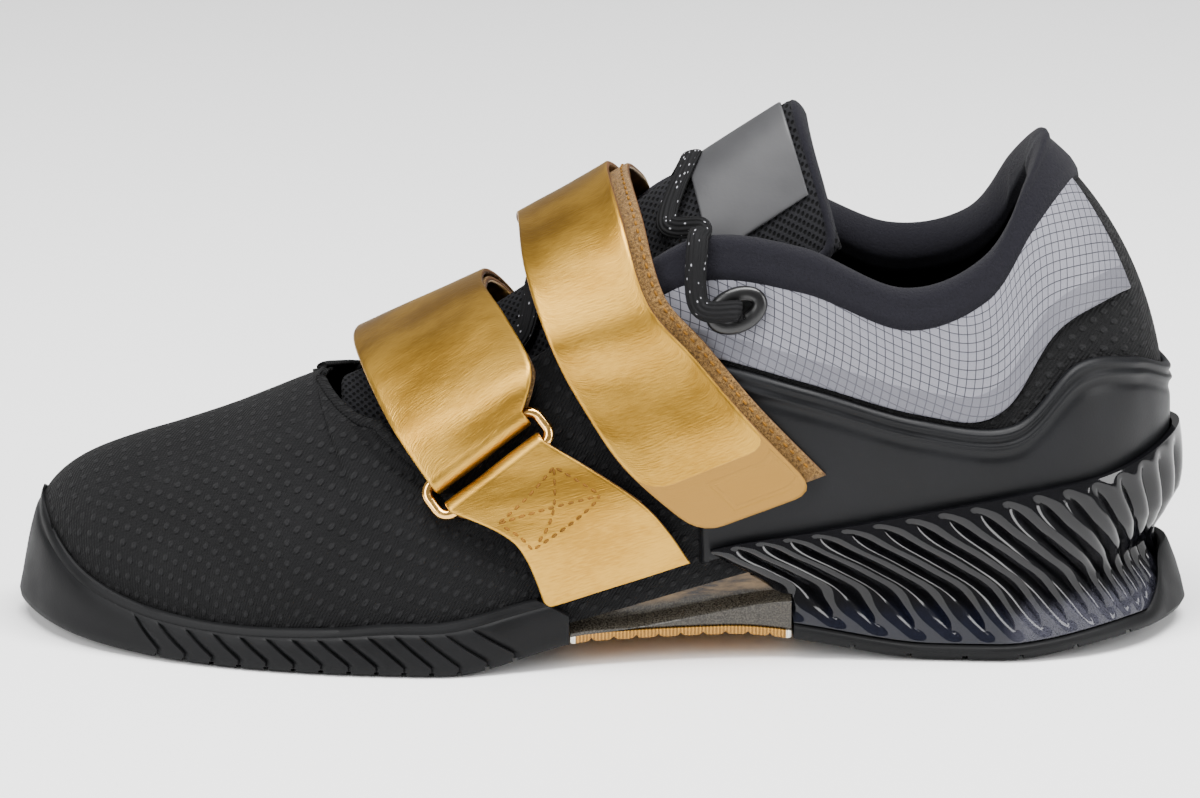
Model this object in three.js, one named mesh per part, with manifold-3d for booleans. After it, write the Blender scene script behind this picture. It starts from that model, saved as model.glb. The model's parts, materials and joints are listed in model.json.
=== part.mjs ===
// A weightlifting shoe for the left foot: knit upper, rubber outsole in three pieces, fluted clear
// heel over a dark core, padded tongue, and two straps that cross the instep in opposite directions.
// Millimetres, +Z up, toe towards -X, lateral side towards -Y. The shoe stands on its sole.
import * as THREE from "three";
import { mergeVertices } from "three/addons/utils/BufferGeometryUtils.js";
import Module from "manifold-3d";

const wasm = await Module();
wasm.setup();

// Driving sizes of the last and the sole
const shoeLength = 300; // toe tip to heel tip of the outsole
const ballWidth = 104; // outsole at the ball, twice the lateral half
const collarHeight = 127; // floor to the top of the heel collar
const footbedFore = 6.5; // floor to the footbed at the ball
const footbedHeel = 30; // floor to the footbed under the heel
const toeSpring = 4; // how far the toe tip is lifted
const heelBevel = 3.6; // how far the heel tip is lifted
const archLift = 6.5; // how far the waist stands off the floor

// Walls, layers and gaps
const upperWall = 2.2;
const collarPad = 5.5; // padding added inside the collar
const seatGap = 0.35; // between pieces that meet
const insoleThickness = 4;
const insoleClearance = 1.5; // round the edge of the insole
const tongueThickness = 5;
const counterThickness = 1.3;
const panelThickness = 0.8;
const strapThickness = 1.6;
const ringWire = 2.8; // diameter of the strap rings' wire
const laceWidth = 4.4;
const laceThickness = 2.6;
const heelPad = 4; // rubber under the heel block
const soleEdge = 0.8; // how far the heel block stands back from the outsole's edge
const sipes = 13; // slanting cuts along each side of the forefoot rubber
const sipeDepth = 1.1;
const sipeWidth = 1.2;
const waistRubber = 2.2;
const sideRubber = 2; // the outsole's side wall at its top edge
const shellWall = 3.2; // clear wall of the heel block
const shellRim = 2.2; // the same wall at its top edge, over the heel counter
const fluteDepth = 1.5;
const flutes = 36; // round the whole heel block
const bindingThickness = 1.4;
const waistFront = -9; // where forefoot rubber and waist meet, behind the middle of the shoe
const waistRear = 47; // where waist and heel block meet
const wingFront = 26; // the heel block's top edge reaches this far forward

const halfBall = ballWidth / 2;
const rad = THREE.MathUtils.degToRad;

// One row for each section from toe tip to heel. at: place along the length. lateral, medial: the
// outsole's edge, in half ball widths. inset: from that edge to the foot of the upper, in half ball
// widths. bellyOut, bellyUp, shoulderOut, shoulderDrop: how the wall swells above its foot and below
// its top, the first and third in half ball widths, the others in collar heights. soleUp, counterUp:
// top edge of the sole's side wall and of the heel counter, in collar heights.
const sections = [
  { at: 0.0, lateral: 0.15, medial: 0.15, inset: 0.125, bellyOut: 0.135, bellyUp: 0.2, shoulderOut: 0.38, shoulderDrop: 0, soleUp: 0.26, counterUp: 0.26 },
  { at: 0.018, lateral: -0.17, medial: 0.46, inset: 0.115, bellyOut: 0.125, bellyUp: 0.195, shoulderOut: 0.38, shoulderDrop: 0, soleUp: 0.213, counterUp: 0.213 },
  { at: 0.055, lateral: -0.45, medial: 0.7, inset: 0.1, bellyOut: 0.085, bellyUp: 0.18, shoulderOut: 0.38, shoulderDrop: 0, soleUp: 0.142, counterUp: 0.142 },
  { at: 0.11, lateral: -0.665, medial: 0.845, inset: 0.095, bellyOut: 0.07, bellyUp: 0.16, shoulderOut: 0.4, shoulderDrop: 0, soleUp: 0.0945, counterUp: 0.1 },
  { at: 0.18, lateral: -0.835, medial: 0.93, inset: 0.095, bellyOut: 0.07, bellyUp: 0.165, shoulderOut: 0.44, shoulderDrop: 0, soleUp: 0.0756, counterUp: 0.09 },
  { at: 0.255, lateral: -0.95, medial: 0.96, inset: 0.095, bellyOut: 0.07, bellyUp: 0.175, shoulderOut: 0.48, shoulderDrop: 0, soleUp: 0.079, counterUp: 0.09 },
  { at: 0.32, lateral: -1.0, medial: 0.94, inset: 0.095, bellyOut: 0.07, bellyUp: 0.19, shoulderOut: 0.48, shoulderDrop: 0.02, soleUp: 0.092, counterUp: 0.1 },
  { at: 0.375, lateral: -1.01, medial: 0.895, inset: 0.09, bellyOut: 0.06, bellyUp: 0.2, shoulderOut: 0.36, shoulderDrop: 0.07, soleUp: 0.1, counterUp: 0.3 },
  { at: 0.44, lateral: -0.93, medial: 0.81, inset: 0.075, bellyOut: 0.05, bellyUp: 0.19, shoulderOut: 0.24, shoulderDrop: 0.12, soleUp: 0.134, counterUp: 0.5 },
  { at: 0.51, lateral: -0.83, medial: 0.7, inset: 0.05, bellyOut: 0.05, bellyUp: 0.2, shoulderOut: 0.19, shoulderDrop: 0.16, soleUp: 0.17, counterUp: 0.62 },
  { at: 0.59, lateral: -0.76, medial: 0.635, inset: 0.05, bellyOut: 0.08, bellyUp: 0.235, shoulderOut: 0.15, shoulderDrop: 0.2, soleUp: 0.236, counterUp: 0.606 },
  { at: 0.68, lateral: -0.745, medial: 0.645, inset: 0.08, bellyOut: 0.1, bellyUp: 0.22, shoulderOut: 0.13, shoulderDrop: 0.19, soleUp: 0.27, counterUp: 0.55 },
  { at: 0.77, lateral: -0.78, medial: 0.72, inset: 0.12, bellyOut: 0.12, bellyUp: 0.19, shoulderOut: 0.13, shoulderDrop: 0.16, soleUp: 0.31, counterUp: 0.488 },
  { at: 0.85, lateral: -0.8, medial: 0.77, inset: 0.155, bellyOut: 0.14, bellyUp: 0.19, shoulderOut: 0.15, shoulderDrop: 0.16, soleUp: 0.343, counterUp: 0.472 },
  { at: 0.92, lateral: -0.675, medial: 0.665, inset: 0.175, bellyOut: 0.17, bellyUp: 0.19, shoulderOut: 0.3, shoulderDrop: 0.16, soleUp: 0.362, counterUp: 0.583 },
  { at: 0.97, lateral: -0.42, medial: 0.42, inset: 0.205, bellyOut: 0.2, bellyUp: 0.185, shoulderOut: 0.47, shoulderDrop: 0.175, soleUp: 0.39, counterUp: 0.575 },
  { at: 1.0, lateral: 0, medial: 0, inset: 0.235, bellyOut: 0.235, bellyUp: 0.17, shoulderOut: 0.58, shoulderDrop: 0.195, soleUp: 0.41, counterUp: 0.53 },
];
// The ridge of the vamp, for the first sections, up to the front of the throat. at and up are
// shares of the length and of the collar height, side is in half ball widths.
const ridge = [
  { at: 0.113, side: 0.115, up: 0.372 },
  { at: 0.117, side: 0.115, up: 0.375 },
  { at: 0.128, side: 0.115, up: 0.383 },
  { at: 0.15, side: 0.113, up: 0.399 },
  { at: 0.193, side: 0.108, up: 0.434 },
  { at: 0.243, side: 0.1, up: 0.483 },
  { at: 0.26, side: 0.096, up: 0.502 },
];
// The throat's edges and the collar's rim, for the sections behind the ridge, in the same shares.
const rim = [
  { at: 0.3, lateral: -0.36, lateralUp: 0.445, medial: 0.48, medialUp: 0.48, pad: 0 },
  { at: 0.373, lateral: -0.5, lateralUp: 0.495, medial: 0.58, medialUp: 0.52, pad: 0 },
  { at: 0.467, lateral: -0.54, lateralUp: 0.63, medial: 0.6, medialUp: 0.65, pad: 0.05 },
  { at: 0.567, lateral: -0.56, lateralUp: 0.8, medial: 0.6, medialUp: 0.835, pad: 0.35 },
  { at: 0.66, lateral: -0.61, lateralUp: 0.785, medial: 0.63, medialUp: 0.805, pad: 0.8 },
  { at: 0.748, lateral: -0.62, lateralUp: 0.7, medial: 0.63, medialUp: 0.722, pad: 1 },
  { at: 0.815, lateral: -0.53, lateralUp: 0.752, medial: 0.54, medialUp: 0.758, pad: 1 },
  { at: 0.848, lateral: -0.355, lateralUp: 0.88, medial: 0.365, medialUp: 0.885, pad: 1 },
  { at: 0.866, lateral: -0.165, lateralUp: 0.955, medial: 0.17, medialUp: 0.955, pad: 0.7 },
  { at: 0.871, lateral: 0, lateralUp: 0.97, medial: 0, medialUp: 0.97, pad: 0.6 },
];
const heelRow = sections.length - 1;
const throatRow = ridge.length - 1;
const loopRows = 2 * heelRow; // rows round the whole shoe: toe, lateral side, heel, medial side

const along = (share) => (share - 0.5) * shoeLength;
const smooth = (a, b, v) => THREE.MathUtils.smoothstep(v, a, b);
const mix = THREE.MathUtils.lerp;
const steps = (n, from = 0, to = 1) => Array.from({ length: n + 1 }, (_, i) => mix(from, to, i / n));

// A curve through values at 0, 1, 2 and so on: closed, or open with its ends held.
function through(values, t, closed = true) {
  const n = values.length;
  const k = Math.floor(t);
  const f = t - k;
  const pick = (i) => values[closed ? ((i % n) + n) % n : Math.min(Math.max(i, 0), n - 1)];
  const [a, b, c, d] = [pick(k - 1), pick(k), pick(k + 1), pick(k + 2)];
  return b + 0.5 * f * (c - a + f * (2 * a - 5 * b + 4 * c - d + f * (3 * (b - c) + d - a)));
}
// A column of a table of rows, read round the shoe from the toe tip.
function round(rows, lateralKey, medialKey = lateralKey) {
  const lateral = rows.map((row) => row[lateralKey]);
  const medial = rows.map((row) => row[medialKey]).slice(1, -1).reverse();
  return [...lateral, ...medial];
}
const column = {
  at: round(sections, "at"),
  side: round(sections, "lateral", "medial"),
  inset: round(sections, "inset"),
  bellyOut: round(sections, "bellyOut"),
  bellyUp: round(sections, "bellyUp"),
  shoulderOut: round(sections, "shoulderOut"),
  shoulderDrop: round(sections, "shoulderDrop"),
  soleUp: round(sections, "soleUp"),
  counterUp: round(sections, "counterUp"),
};
const front = ridge[throatRow];
const rimStart = { at: front.at, lateral: front.side, medial: front.side, lateralUp: front.up, medialUp: front.up, pad: 0 };
const rimRows = [rimStart, ...rim];
const rimColumn = {
  at: round(rimRows, "at"),
  side: round(rimRows, "lateral", "medial"),
  up: round(rimRows, "lateralUp", "medialUp"),
  pad: round(rimRows, "pad"),
};

// Height of the footbed over the floor, and of the outsole's underside.
const lift = (x) => toeSpring * Math.pow(Math.max(0, (along(0.2) - x) / (0.2 * shoeLength)), 2);
const footbed = (x) => mix(footbedFore, footbedHeel, smooth(along(0.34), along(0.8), x)) + lift(x);
const arch = (x) => archLift * smooth(along(0.37), along(0.49), x) * (1 - smooth(along(0.6), along(0.78), x));
const underside = (x) => lift(x) + arch(x) + heelBevel * smooth(along(0.825), along(0.95), x);

function outline(t) {
  return new THREE.Vector2(along(through(column.at, t)), through(column.side, t) * halfBall);
}
function outward(t) {
  const d = outline(t + 0.02).sub(outline(t - 0.02));
  return new THREE.Vector2(d.y, -d.x).normalize();
}
const zipped = (t) => t <= throatRow || t >= loopRows - throatRow;
const ridgePoint = (t) => {
  const read = (key) => through(ridge.map((row) => row[key]), Math.min(t, loopRows - t), false);
  return new THREE.Vector3(along(read("at")), read("side") * halfBall, read("up") * collarHeight);
};
function topPoint(t) {
  if (zipped(t)) return ridgePoint(t);
  const r = t - throatRow;
  return new THREE.Vector3(
    along(through(rimColumn.at, r)),
    through(rimColumn.side, r) * halfBall,
    through(rimColumn.up, r) * collarHeight,
  );
}
const ridgeSlope = (ridge[3].up - ridge[0].up) * collarHeight / ((ridge[3].at - ridge[0].at) * shoeLength);

// The outer face of the upper: t goes round the shoe, s up the wall from its foot to its top.
function upperPoint(t, s) {
  const edge = outline(t);
  const out = outward(t);
  const top = topPoint(t);
  const foot = edge.clone().addScaledVector(out, -through(column.inset, t) * halfBall);
  const belly = through(column.bellyOut, t) * halfBall;
  const shoulder = through(column.shoulderOut, t) * halfBall;
  const drop = through(column.shoulderDrop, t) * collarHeight - (zipped(t) ? shoulder * out.x * ridgeSlope : 0);
  const p0 = new THREE.Vector3(foot.x, foot.y, footbed(foot.x));
  const p1 = new THREE.Vector3(
    foot.x + out.x * belly,
    foot.y + out.y * belly,
    p0.z + through(column.bellyUp, t) * collarHeight,
  );
  const p2 = new THREE.Vector3(top.x + out.x * shoulder, top.y + out.y * shoulder, top.z - drop);
  return new THREE.CubicBezierCurve3(p0, p1, p2, top).getPoint(s);
}
function upperNormal(t, s) {
  const step = 0.01;
  const sideways = upperPoint(t + step, s).sub(upperPoint(t - step, s));
  const low = Math.max(0, s - step);
  const high = Math.min(1, s + step);
  const upwards = upperPoint(t, high).sub(upperPoint(t, low));
  const normal = sideways.cross(upwards).normalize();
  return normal;
}
function offsetPoint(t, s, distance) {
  let normal = upperNormal(t, s);
  if (s >= 1 && zipped(t)) normal.add(upperNormal(loopRows - t, 1)).normalize();
  return upperPoint(t, s).addScaledVector(normal, distance);
}
// Wall thickness, with the collar's padding towards the rim.
function wallAt(t, s) {
  const pad = zipped(t) ? 0 : through(rimColumn.pad, t - throatRow);
  return upperWall + collarPad * pad * smooth(0.45, 0.95, s);
}

const columnsPerRow = 2; // facets of the wall between two rows of the table
const upperHeights = 7; // facets up the wall
const bindingLow = 0.91; // share of the wall where the collar binding starts

// Triangles are gathered as points, and joined into one closed solid with its faces pointing out.
class Skin {
  constructor() {
    this.points = [];
  }
  triangle(a, b, c) {
    this.points.push(a.x, a.y, a.z, b.x, b.y, b.z, c.x, c.y, c.z);
  }
  quad(a, b, c, d) {
    this.triangle(a, b, c);
    this.triangle(a, c, d);
  }
  // A sheet over a grid of points.
  sheet(grid, flip = false) {
    for (let i = 0; i + 1 < grid.length; i++)
      for (let j = 0; j + 1 < grid[i].length; j++) {
        const [a, b, c, d] = [grid[i][j], grid[i + 1][j], grid[i + 1][j + 1], grid[i][j + 1]];
        if (flip) this.quad(d, c, b, a);
        else this.quad(a, b, c, d);
      }
    return this;
  }
  solid() {
    const g = new THREE.BufferGeometry();
    g.setAttribute("position", new THREE.Float32BufferAttribute(this.points, 3));
    return solidOf(g);
  }
}
function solidOf(geometry) {
  const g = geometry.clone();
  g.deleteAttribute("normal");
  g.deleteAttribute("uv");
  const merged = mergeVertices(g, 1e-3);
  const make = (triVerts) =>
    new wasm.Manifold(
      new wasm.Mesh({ numProp: 3, vertProperties: merged.attributes.position.array, triVerts }),
    );
  const faces = new Uint32Array([...merged.index.array]);
  const kept = [];
  for (let i = 0; i < faces.length; i += 3)
    if (faces[i] !== faces[i + 1] && faces[i + 1] !== faces[i + 2] && faces[i] !== faces[i + 2])
      kept.push(faces[i], faces[i + 1], faces[i + 2]);
  const made = make(new Uint32Array(kept));
  if (made.volume() > 0) return made;
  for (let i = 0; i < kept.length; i += 3) [kept[i + 1], kept[i + 2]] = [kept[i + 2], kept[i + 1]];
  return make(new Uint32Array(kept));
}
function geometryOf(solid) {
  const m = solid.getMesh();
  const v = new Float32Array(m.numVert * 3);
  for (let i = 0; i < m.numVert; i++) v.set(m.vertProperties.subarray(i * m.numProp, i * m.numProp + 3), i * 3);
  const g = new THREE.BufferGeometry();
  g.setAttribute("position", new THREE.BufferAttribute(v, 3));
  g.setIndex(new THREE.BufferAttribute(m.triVerts, 1));
  return g;
}
// A plate with two faces over matching grids, closed round its border.
function plate(upperFace, lowerFace) {
  const skin = new Skin();
  skin.sheet(upperFace).sheet(lowerFace, true);
  const edge = (grid) => {
    const last = grid.length - 1;
    const end = grid[0].length - 1;
    return [
      ...grid[0].slice(0, end),
      ...grid.slice(0, last).map((line) => line[end]),
      ...grid[last].slice(1).reverse(),
      ...grid.slice(1).reverse().map((line) => line[0]),
    ];
  };
  const a = edge(upperFace);
  const b = edge(lowerFace);
  a.forEach((p, i) => {
    const k = (i + 1) % a.length;
    skin.quad(p, a[k], b[k], b[i]);
  });
  return skin.solid();
}
// A solid from levels of points, bottom to top. Each level runs round an arc or a loop whose first
// and last points lie side by side, so that a ladder of faces between its two halves closes it.
function stack(levels) {
  const skin = new Skin();
  const n = levels[0].length;
  for (let k = 0; k + 1 < levels.length; k++)
    for (let i = 0; i < n; i++) {
      const j = (i + 1) % n;
      skin.quad(levels[k][i], levels[k][j], levels[k + 1][j], levels[k + 1][i]);
    }
  const ladder = (level, flip) => {
    for (let i = 0; i + 1 <= n - 2 - i; i++) {
      const rung = [level[i], level[i + 1], level[n - 2 - i], level[n - 1 - i]];
      if (flip) rung.reverse();
      skin.quad(...rung);
    }
  };
  ladder(levels[0], true);
  ladder(levels[levels.length - 1], false);
  return skin.solid();
}
// Where the outline reaches x on the lateral side, and where the wall at t reaches height z.
function solve(read, target, low, high) {
  for (let i = 0; i < 40; i++) {
    const middle = (low + high) / 2;
    if (read(middle) < target) low = middle;
    else high = middle;
  }
  return (low + high) / 2;
}
const rowAt = (x) => solve((t) => outline(t).x, x, 0, heelRow);
const shareAt = (t, z) => solve((s) => upperPoint(t, s).z, z, 0, 1);
const edgePoint = (t, inset, z) => {
  const p = outline(t).addScaledVector(outward(t), -inset);
  return new THREE.Vector3(p.x, p.y, z(p.x));
};
// Columns round the shoe at the upper's own facets, with both ends of the stretch.
function lattice(from, to) {
  const inner = [];
  for (let k = Math.floor(from * columnsPerRow) + 1; k < to * columnsPerRow - 1e-6; k++) inner.push(k / columnsPerRow);
  return [from, ...inner.filter((t) => t - from > 0.1 && to - t > 0.1), to].map(wrap);
}
const facetShares = steps(4).map((q) => (q * 4 * bindingLow) / (upperHeights - 1));
const wrap = (t) => ((t % loopRows) + loopRows) % loopRows;

const shoe = new THREE.Group();
function add(name, solid, colour, roughness, metalness = 0, opacity = 1) {
  const material = new THREE.MeshStandardMaterial({ color: colour, roughness, metalness });
  if (opacity < 1) Object.assign(material, { transparent: true, opacity });
  const mesh = new THREE.Mesh(geometryOf(solid), material);
  mesh.name = name;
  shoe.add(mesh);
  return solid;
}

// Upper: one hollow wall, open at the throat and collar above and over the sole below.
function upperSolid() {
  const ts = steps(loopRows * columnsPerRow, 0, loopRows);
  const ss = [...steps(upperHeights - 1, 0, bindingLow), 1];
  const outer = ts.map((t) => ss.map((s) => offsetPoint(t % loopRows, s, 0)));
  const inner = ts.map((t) => ss.map((s) => offsetPoint(t % loopRows, s, -wallAt(t % loopRows, s))));
  const skin = new Skin();
  skin.sheet(outer).sheet(inner, true);
  for (let i = 0; i + 1 < ts.length; i++) {
    const k = i + 1;
    skin.quad(outer[i][0], inner[i][0], inner[k][0], outer[k][0]);
    if (zipped((ts[i] + ts[k]) / 2)) continue;
    // The rim is rounded over by a crest between the outer and inner faces.
    const crest = (n) => {
      const [a, b] = [outer[n][upperHeights], inner[n][upperHeights]];
      return a.clone().add(b).multiplyScalar(0.5).add(new THREE.Vector3(0, 0, 0.38 * a.distanceTo(b)));
    };
    const [c, d] = [crest(i), crest(k)];
    skin.quad(outer[i][upperHeights], outer[k][upperHeights], d, c);
    skin.quad(c, d, inner[k][upperHeights], inner[i][upperHeights]);
  }
  return skin.solid();
}
const eyelets = [-1, 1].map((side) => {
  const t = side < 0 ? rowAt(along(0.627)) : loopRows - rowAt(along(0.627));
  const s = shareAt(t, (side < 0 ? 0.7 : 0.735) * collarHeight);
  return { t, s, name: side < 0 ? "lateral" : "medial" };
});
const eyeletHalfLength = 6;
const eyeletHalfWidth = 3.6;
const eyeletWire = 2.4;
// A frame on the wall: its place, and axes forward along the wall, up it and out of it.
function wallFrame(t, s, distance, turn = 0) {
  const out = upperNormal(t, s);
  const up = new THREE.Vector3(0, 0, 1).addScaledVector(out, -out.z).normalize();
  const forward = new THREE.Vector3().crossVectors(up, out);
  const m = new THREE.Matrix4().makeBasis(forward, up, out);
  m.multiply(new THREE.Matrix4().makeRotationZ(turn));
  return m.setPosition(offsetPoint(t, s, distance));
}
function eyeletHole({ t, s, name }) {
  const oval = new THREE.Shape().absellipse(0, 0, eyeletHalfLength, eyeletHalfWidth, 0, 2 * Math.PI);
  const g = new THREE.ExtrudeGeometry(oval, { depth: 14, bevelEnabled: false, curveSegments: 8 });
  g.translate(0, 0, -9);
  return solidOf(g.applyMatrix4(wallFrame(t, s, 0, name === "lateral" ? rad(25) : rad(-25))));
}
let upper = upperSolid();
for (const eyelet of eyelets) upper = upper.subtract(eyeletHole(eyelet));
add("upper", upper, 0x1b1b1d, 0.85);

// Insole: it lies on the footbed inside the wall.
const loop = lattice(0, loopRows).slice(1);
const insoleLevel = (height) =>
  loop.map((t) => {
    const foot = upperPoint(t, 0);
    const s = height ? shareAt(t, foot.z + height) : 0;
    const p = offsetPoint(t, s, -upperWall - insoleClearance);
    p.z = foot.z + height;
    return p;
  });
add("insole", stack([insoleLevel(0), insoleLevel(insoleThickness)]), 0x26262a, 0.9);

// Forefoot rubber: a tread slab and a side wall that follows the upper up to its top edge.
const soleTop = (t) => through(column.soleUp, t) * collarHeight;
const toeArc = (x) => lattice(-rowAt(x), rowAt(x));
const overlap = 6; // extra length that a cut takes off again
// The room that the upper takes out of the pieces round its foot.
function wallRoom(ts, distance) {
  const levels = facetShares.map((s) => ts.map((t) => offsetPoint(t, s, distance)));
  levels.unshift(levels[0].map((p) => p.clone().setZ(footbed(p.x) - 2 * seatGap)));
  levels[1].forEach((p) => (p.z += seatGap));
  return stack(levels);
}
// Cuts off what lies behind x, or in front of it.
function trim(solid, x, behind) {
  const g = new THREE.BoxGeometry(shoeLength, 2 * ballWidth, 4 * collarHeight);
  return solid.subtract(solidOf(g.translate(x + (behind ? 0.5 : -0.5) * shoeLength, 0, 0)));
}
function forefootSolid() {
  const ts = toeArc(waistFront + overlap);
  const top = ts.map((t) => offsetPoint(t, shareAt(t, soleTop(t)), seatGap + sideRubber));
  const bottom = (inset, raise) => ts.map((t) => edgePoint(t, inset, (x) => underside(x) + raise));
  const middle = bottom(0, 2.5).map((p, i) => p.clone().lerp(top[i], 0.62).addScaledVector(out3(ts[i]), 0.8));
  const block = stack([bottom(1.6, 0), bottom(0, 2.5), middle, top]);
  let solid = block.subtract(wallRoom(toeArc(waistFront + 3 * overlap), seatGap));
  for (const x of steps(8, along(0.07), along(0.42))) solid = solid.subtract(treadGroove(x, ballWidth + 10));
  for (const x of steps(sipes, along(0.127), along(0.425)))
    for (const hand of [-1, 1]) solid = solid.subtract(sideSipe(x, hand));
  return trim(solid, waistFront, true);
}
// A slanting cut in the side wall, from a third of its height down to the tread. The cuts grow
// towards the waist, where the side wall is higher.
function sideSipe(x, hand) {
  const t = hand < 0 ? rowAt(x) : loopRows - rowAt(x);
  const out = out3(t);
  const high = offsetPoint(t, shareAt(t, soleTop(t)), seatGap + sideRubber);
  const low = edgePoint(t, 0, underside);
  const length = high.z - low.z;
  const slant = new THREE.Vector3(out.y * hand, -out.x * hand, -1.1).normalize();
  const middle = low.clone().lerp(high, 0.36).addScaledVector(out, sipeWidth);
  const g = new THREE.BoxGeometry(sipeWidth, 2 * sipeDepth + 2 * sipeWidth, length);
  const m = new THREE.Matrix4().makeBasis(new THREE.Vector3().crossVectors(out, slant), out, slant);
  return solidOf(g.applyMatrix4(m.setPosition(middle)));
}
const out3 = (t) => new THREE.Vector3(outward(t).x, outward(t).y, 0);
function treadGroove(x, width) {
  const g = new THREE.BoxGeometry(1.6, width, 2.4);
  return solidOf(g.translate(x, 0, underside(x)));
}
add("outsole_forefoot", forefootSolid(), 0x2b2c2d, 0.75);

// Waist: a ribbed rubber strip, and over it a plate with a recessed side.
const waistLoop = lattice(rowAt(waistFront - overlap), rowAt(waistRear + overlap));
const waistPoints = [...waistLoop, ...waistLoop.map((t) => loopRows - t).reverse()];
const waistLevel = (inset, z) => waistPoints.map((t) => edgePoint(t, inset, z));
const waistCut = (solid, grow = 0) =>
  trim(trim(solid, waistFront + seatGap - grow, false), waistRear - seatGap + grow, true);
const stripTop = (x) => underside(x) + waistRubber;
let strip = waistCut(stack([waistLevel(0.9, underside), waistLevel(0.5, stripTop)]));
for (const x of steps(8, waistFront + 6, waistRear - 6)) strip = strip.subtract(treadGroove(x, ballWidth));
add("outsole_waist", strip, 0xb98f3e, 0.6);
const plateSide = 5; // how far the plate's side stands back above its flange
const plateTop = (x) => footbed(x) - seatGap;
const flangeTop = (x) => mix(stripTop(x) + seatGap, plateTop(x), mix(0.16, 0.5, smooth(waistFront, waistRear, x)));
const plateSolid = (grow) => {
  const levels = [
    waistLevel(0.7 - grow, (x) => stripTop(x) + seatGap - grow),
    waistLevel(0.7 - grow, (x) => flangeTop(x) - 0.6 + grow),
    waistLevel(plateSide - grow, (x) => flangeTop(x) + grow),
    waistLevel(plateSide - 0.5 - grow, (x) => plateTop(x) + grow),
  ];
  return waistCut(stack(levels), grow);
};
add("waist_plate", plateSolid(0), 0x5a4a38, 0.25, 0, 0.8);

// Heel block: a clear fluted shell over a dark core, on a rubber pad. q runs round the heel from the
// lateral front to the medial front, v up from its base. The flutes slant back towards the base.
const blockBase = (x) => underside(x) + heelPad + seatGap;
const topFront = rowAt(wingFront);
const baseFront = rowAt(waistRear + seatGap);
function blockRow(q, v) {
  const side = 1 - 2 * q; // 1 at the lateral front, -1 at the medial front
  const start = mix(baseFront, topFront, smooth(0, 1, v));
  return heelRow - side * (heelRow - start);
}
// The block's side between its base and its top edge: shares of its height, and of its depth.
const blockProfile = [
  { up: 0, out: 0 },
  { up: 0.14, out: -0.25 },
  { up: 0.33, out: -1 },
  { up: 0.52, out: -0.35 },
  { up: 0.72, out: 0.3 },
  { up: 0.9, out: 0.3 },
  { up: 1, out: 0 },
];
const pinchSide = 2.6;
const pinchBack = 6.5;
function blockPoint(q, v, grow = 0, fluted = true) {
  const t = blockRow(q, v);
  const k = v * (blockProfile.length - 1);
  const up = through(blockProfile.map((row) => row.up), k, false);
  const back = smooth(along(0.88), along(1), outline(t).x);
  const out = through(blockProfile.map((row) => row.out), k, false);
  const depth = out * (out < 0 ? mix(pinchSide, pinchBack, back) : pinchSide);
  const wave = fluted ? fluteDepth * Math.sin(Math.PI * Math.min(1, v)) * Math.cos(2 * Math.PI * flutes * q) : 0;
  const base = edgePoint(t, soleEdge, blockBase);
  const z = soleTop(t);
  const top = offsetPoint(t, shareAt(t, z), counterThickness + 3 * seatGap + shellRim);
  const p = base.lerp(top, up);
  p.addScaledVector(out3(t), depth + (wave - (fluted ? fluteDepth : 0)) / 2 + grow);
  if (v === 0) p.z -= grow;
  return p;
}
const blockLevels = (columns, grow, fluted) =>
  steps(5).map((v) => steps(columns).map((q) => blockPoint(q, v, grow, fluted)));
const heelArc = (n, x) => steps(n, rowAt(x), loopRows - rowAt(x));
const coreFront = waistRear + 4;
const coreTop = (x) => footbed(x) - 2 * seatGap;
const coreBase = (x) => blockBase(x) + 2.4;
const coreLevels = (grow) =>
  [0, 0.25, 0.6, 1].map((share, k) =>
    heelArc(20, coreFront - grow).map((t) => {
      const pinch = mix(pinchSide, pinchBack, smooth(along(0.88), along(1), outline(t).x));
      const inset = soleEdge + shellWall + fluteDepth + pinch;
      const edge = edgePoint(t, inset - grow, (x) => mix(coreBase(x), coreTop(x), share));
      if (k === 0) edge.z -= grow;
      if (k === 3) edge.z += grow;
      return edge;
    }),
  );
function shellSolid() {
  const room = lattice(rowAt(wingFront - 3 * overlap), loopRows - rowAt(wingFront - 3 * overlap));
  return stack(blockLevels(flutes * 3, 0, true))
    .subtract(wallRoom(room, counterThickness + 3 * seatGap))
    .subtract(stack(coreLevels(seatGap)))
    .subtract(plateSolid(seatGap));
}
add("heel_shell", shellSolid(), 0x3a3a44, 0.12, 0, 0.55);
add("heel_core", stack(coreLevels(0)), 0x0c0c0d, 0.5);

// Heel rubber: a pad under the block, with a lip that turns up at the back of the heel.
function heelPadSolid() {
  const ts = heelArc(40, waistRear + seatGap);
  const bottom = (inset, raise) => ts.map((t) => edgePoint(t, inset, (x) => underside(x) + raise));
  const lip = ts.map((t, i) => {
    const turned = smooth(along(0.955), along(0.995), outline(t).x);
    const onBlock = blockPoint(i / 40, 0.3 * turned, 0, false);
    onBlock.z -= 2 * seatGap * (1 - turned);
    return onBlock.addScaledVector(out3(t), 0.8 + 1.8 * turned);
  });
  let pad = stack([bottom(1.6, 0), bottom(0, 2), lip]);
  pad = pad.subtract(stack(blockLevels(40, seatGap, false)));
  for (const x of steps(6, waistRear + 8, along(0.96))) pad = pad.subtract(treadGroove(x, ballWidth));
  return pad;
}
add("outsole_heel", heelPadSolid(), 0x232427, 0.8);

// A panel on the wall: t runs from one row to another, and low and high give its shares of the wall.
function panel(from, to, rows, low, high, gap, thickness) {
  const ts = lattice(from, to);
  const face = (distance) =>
    ts.map((t) => steps(rows).map((v) => offsetPoint(wrap(t), mix(low(t), high(t), v), distance)));
  return plate(face(gap + thickness), face(gap));
}
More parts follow.
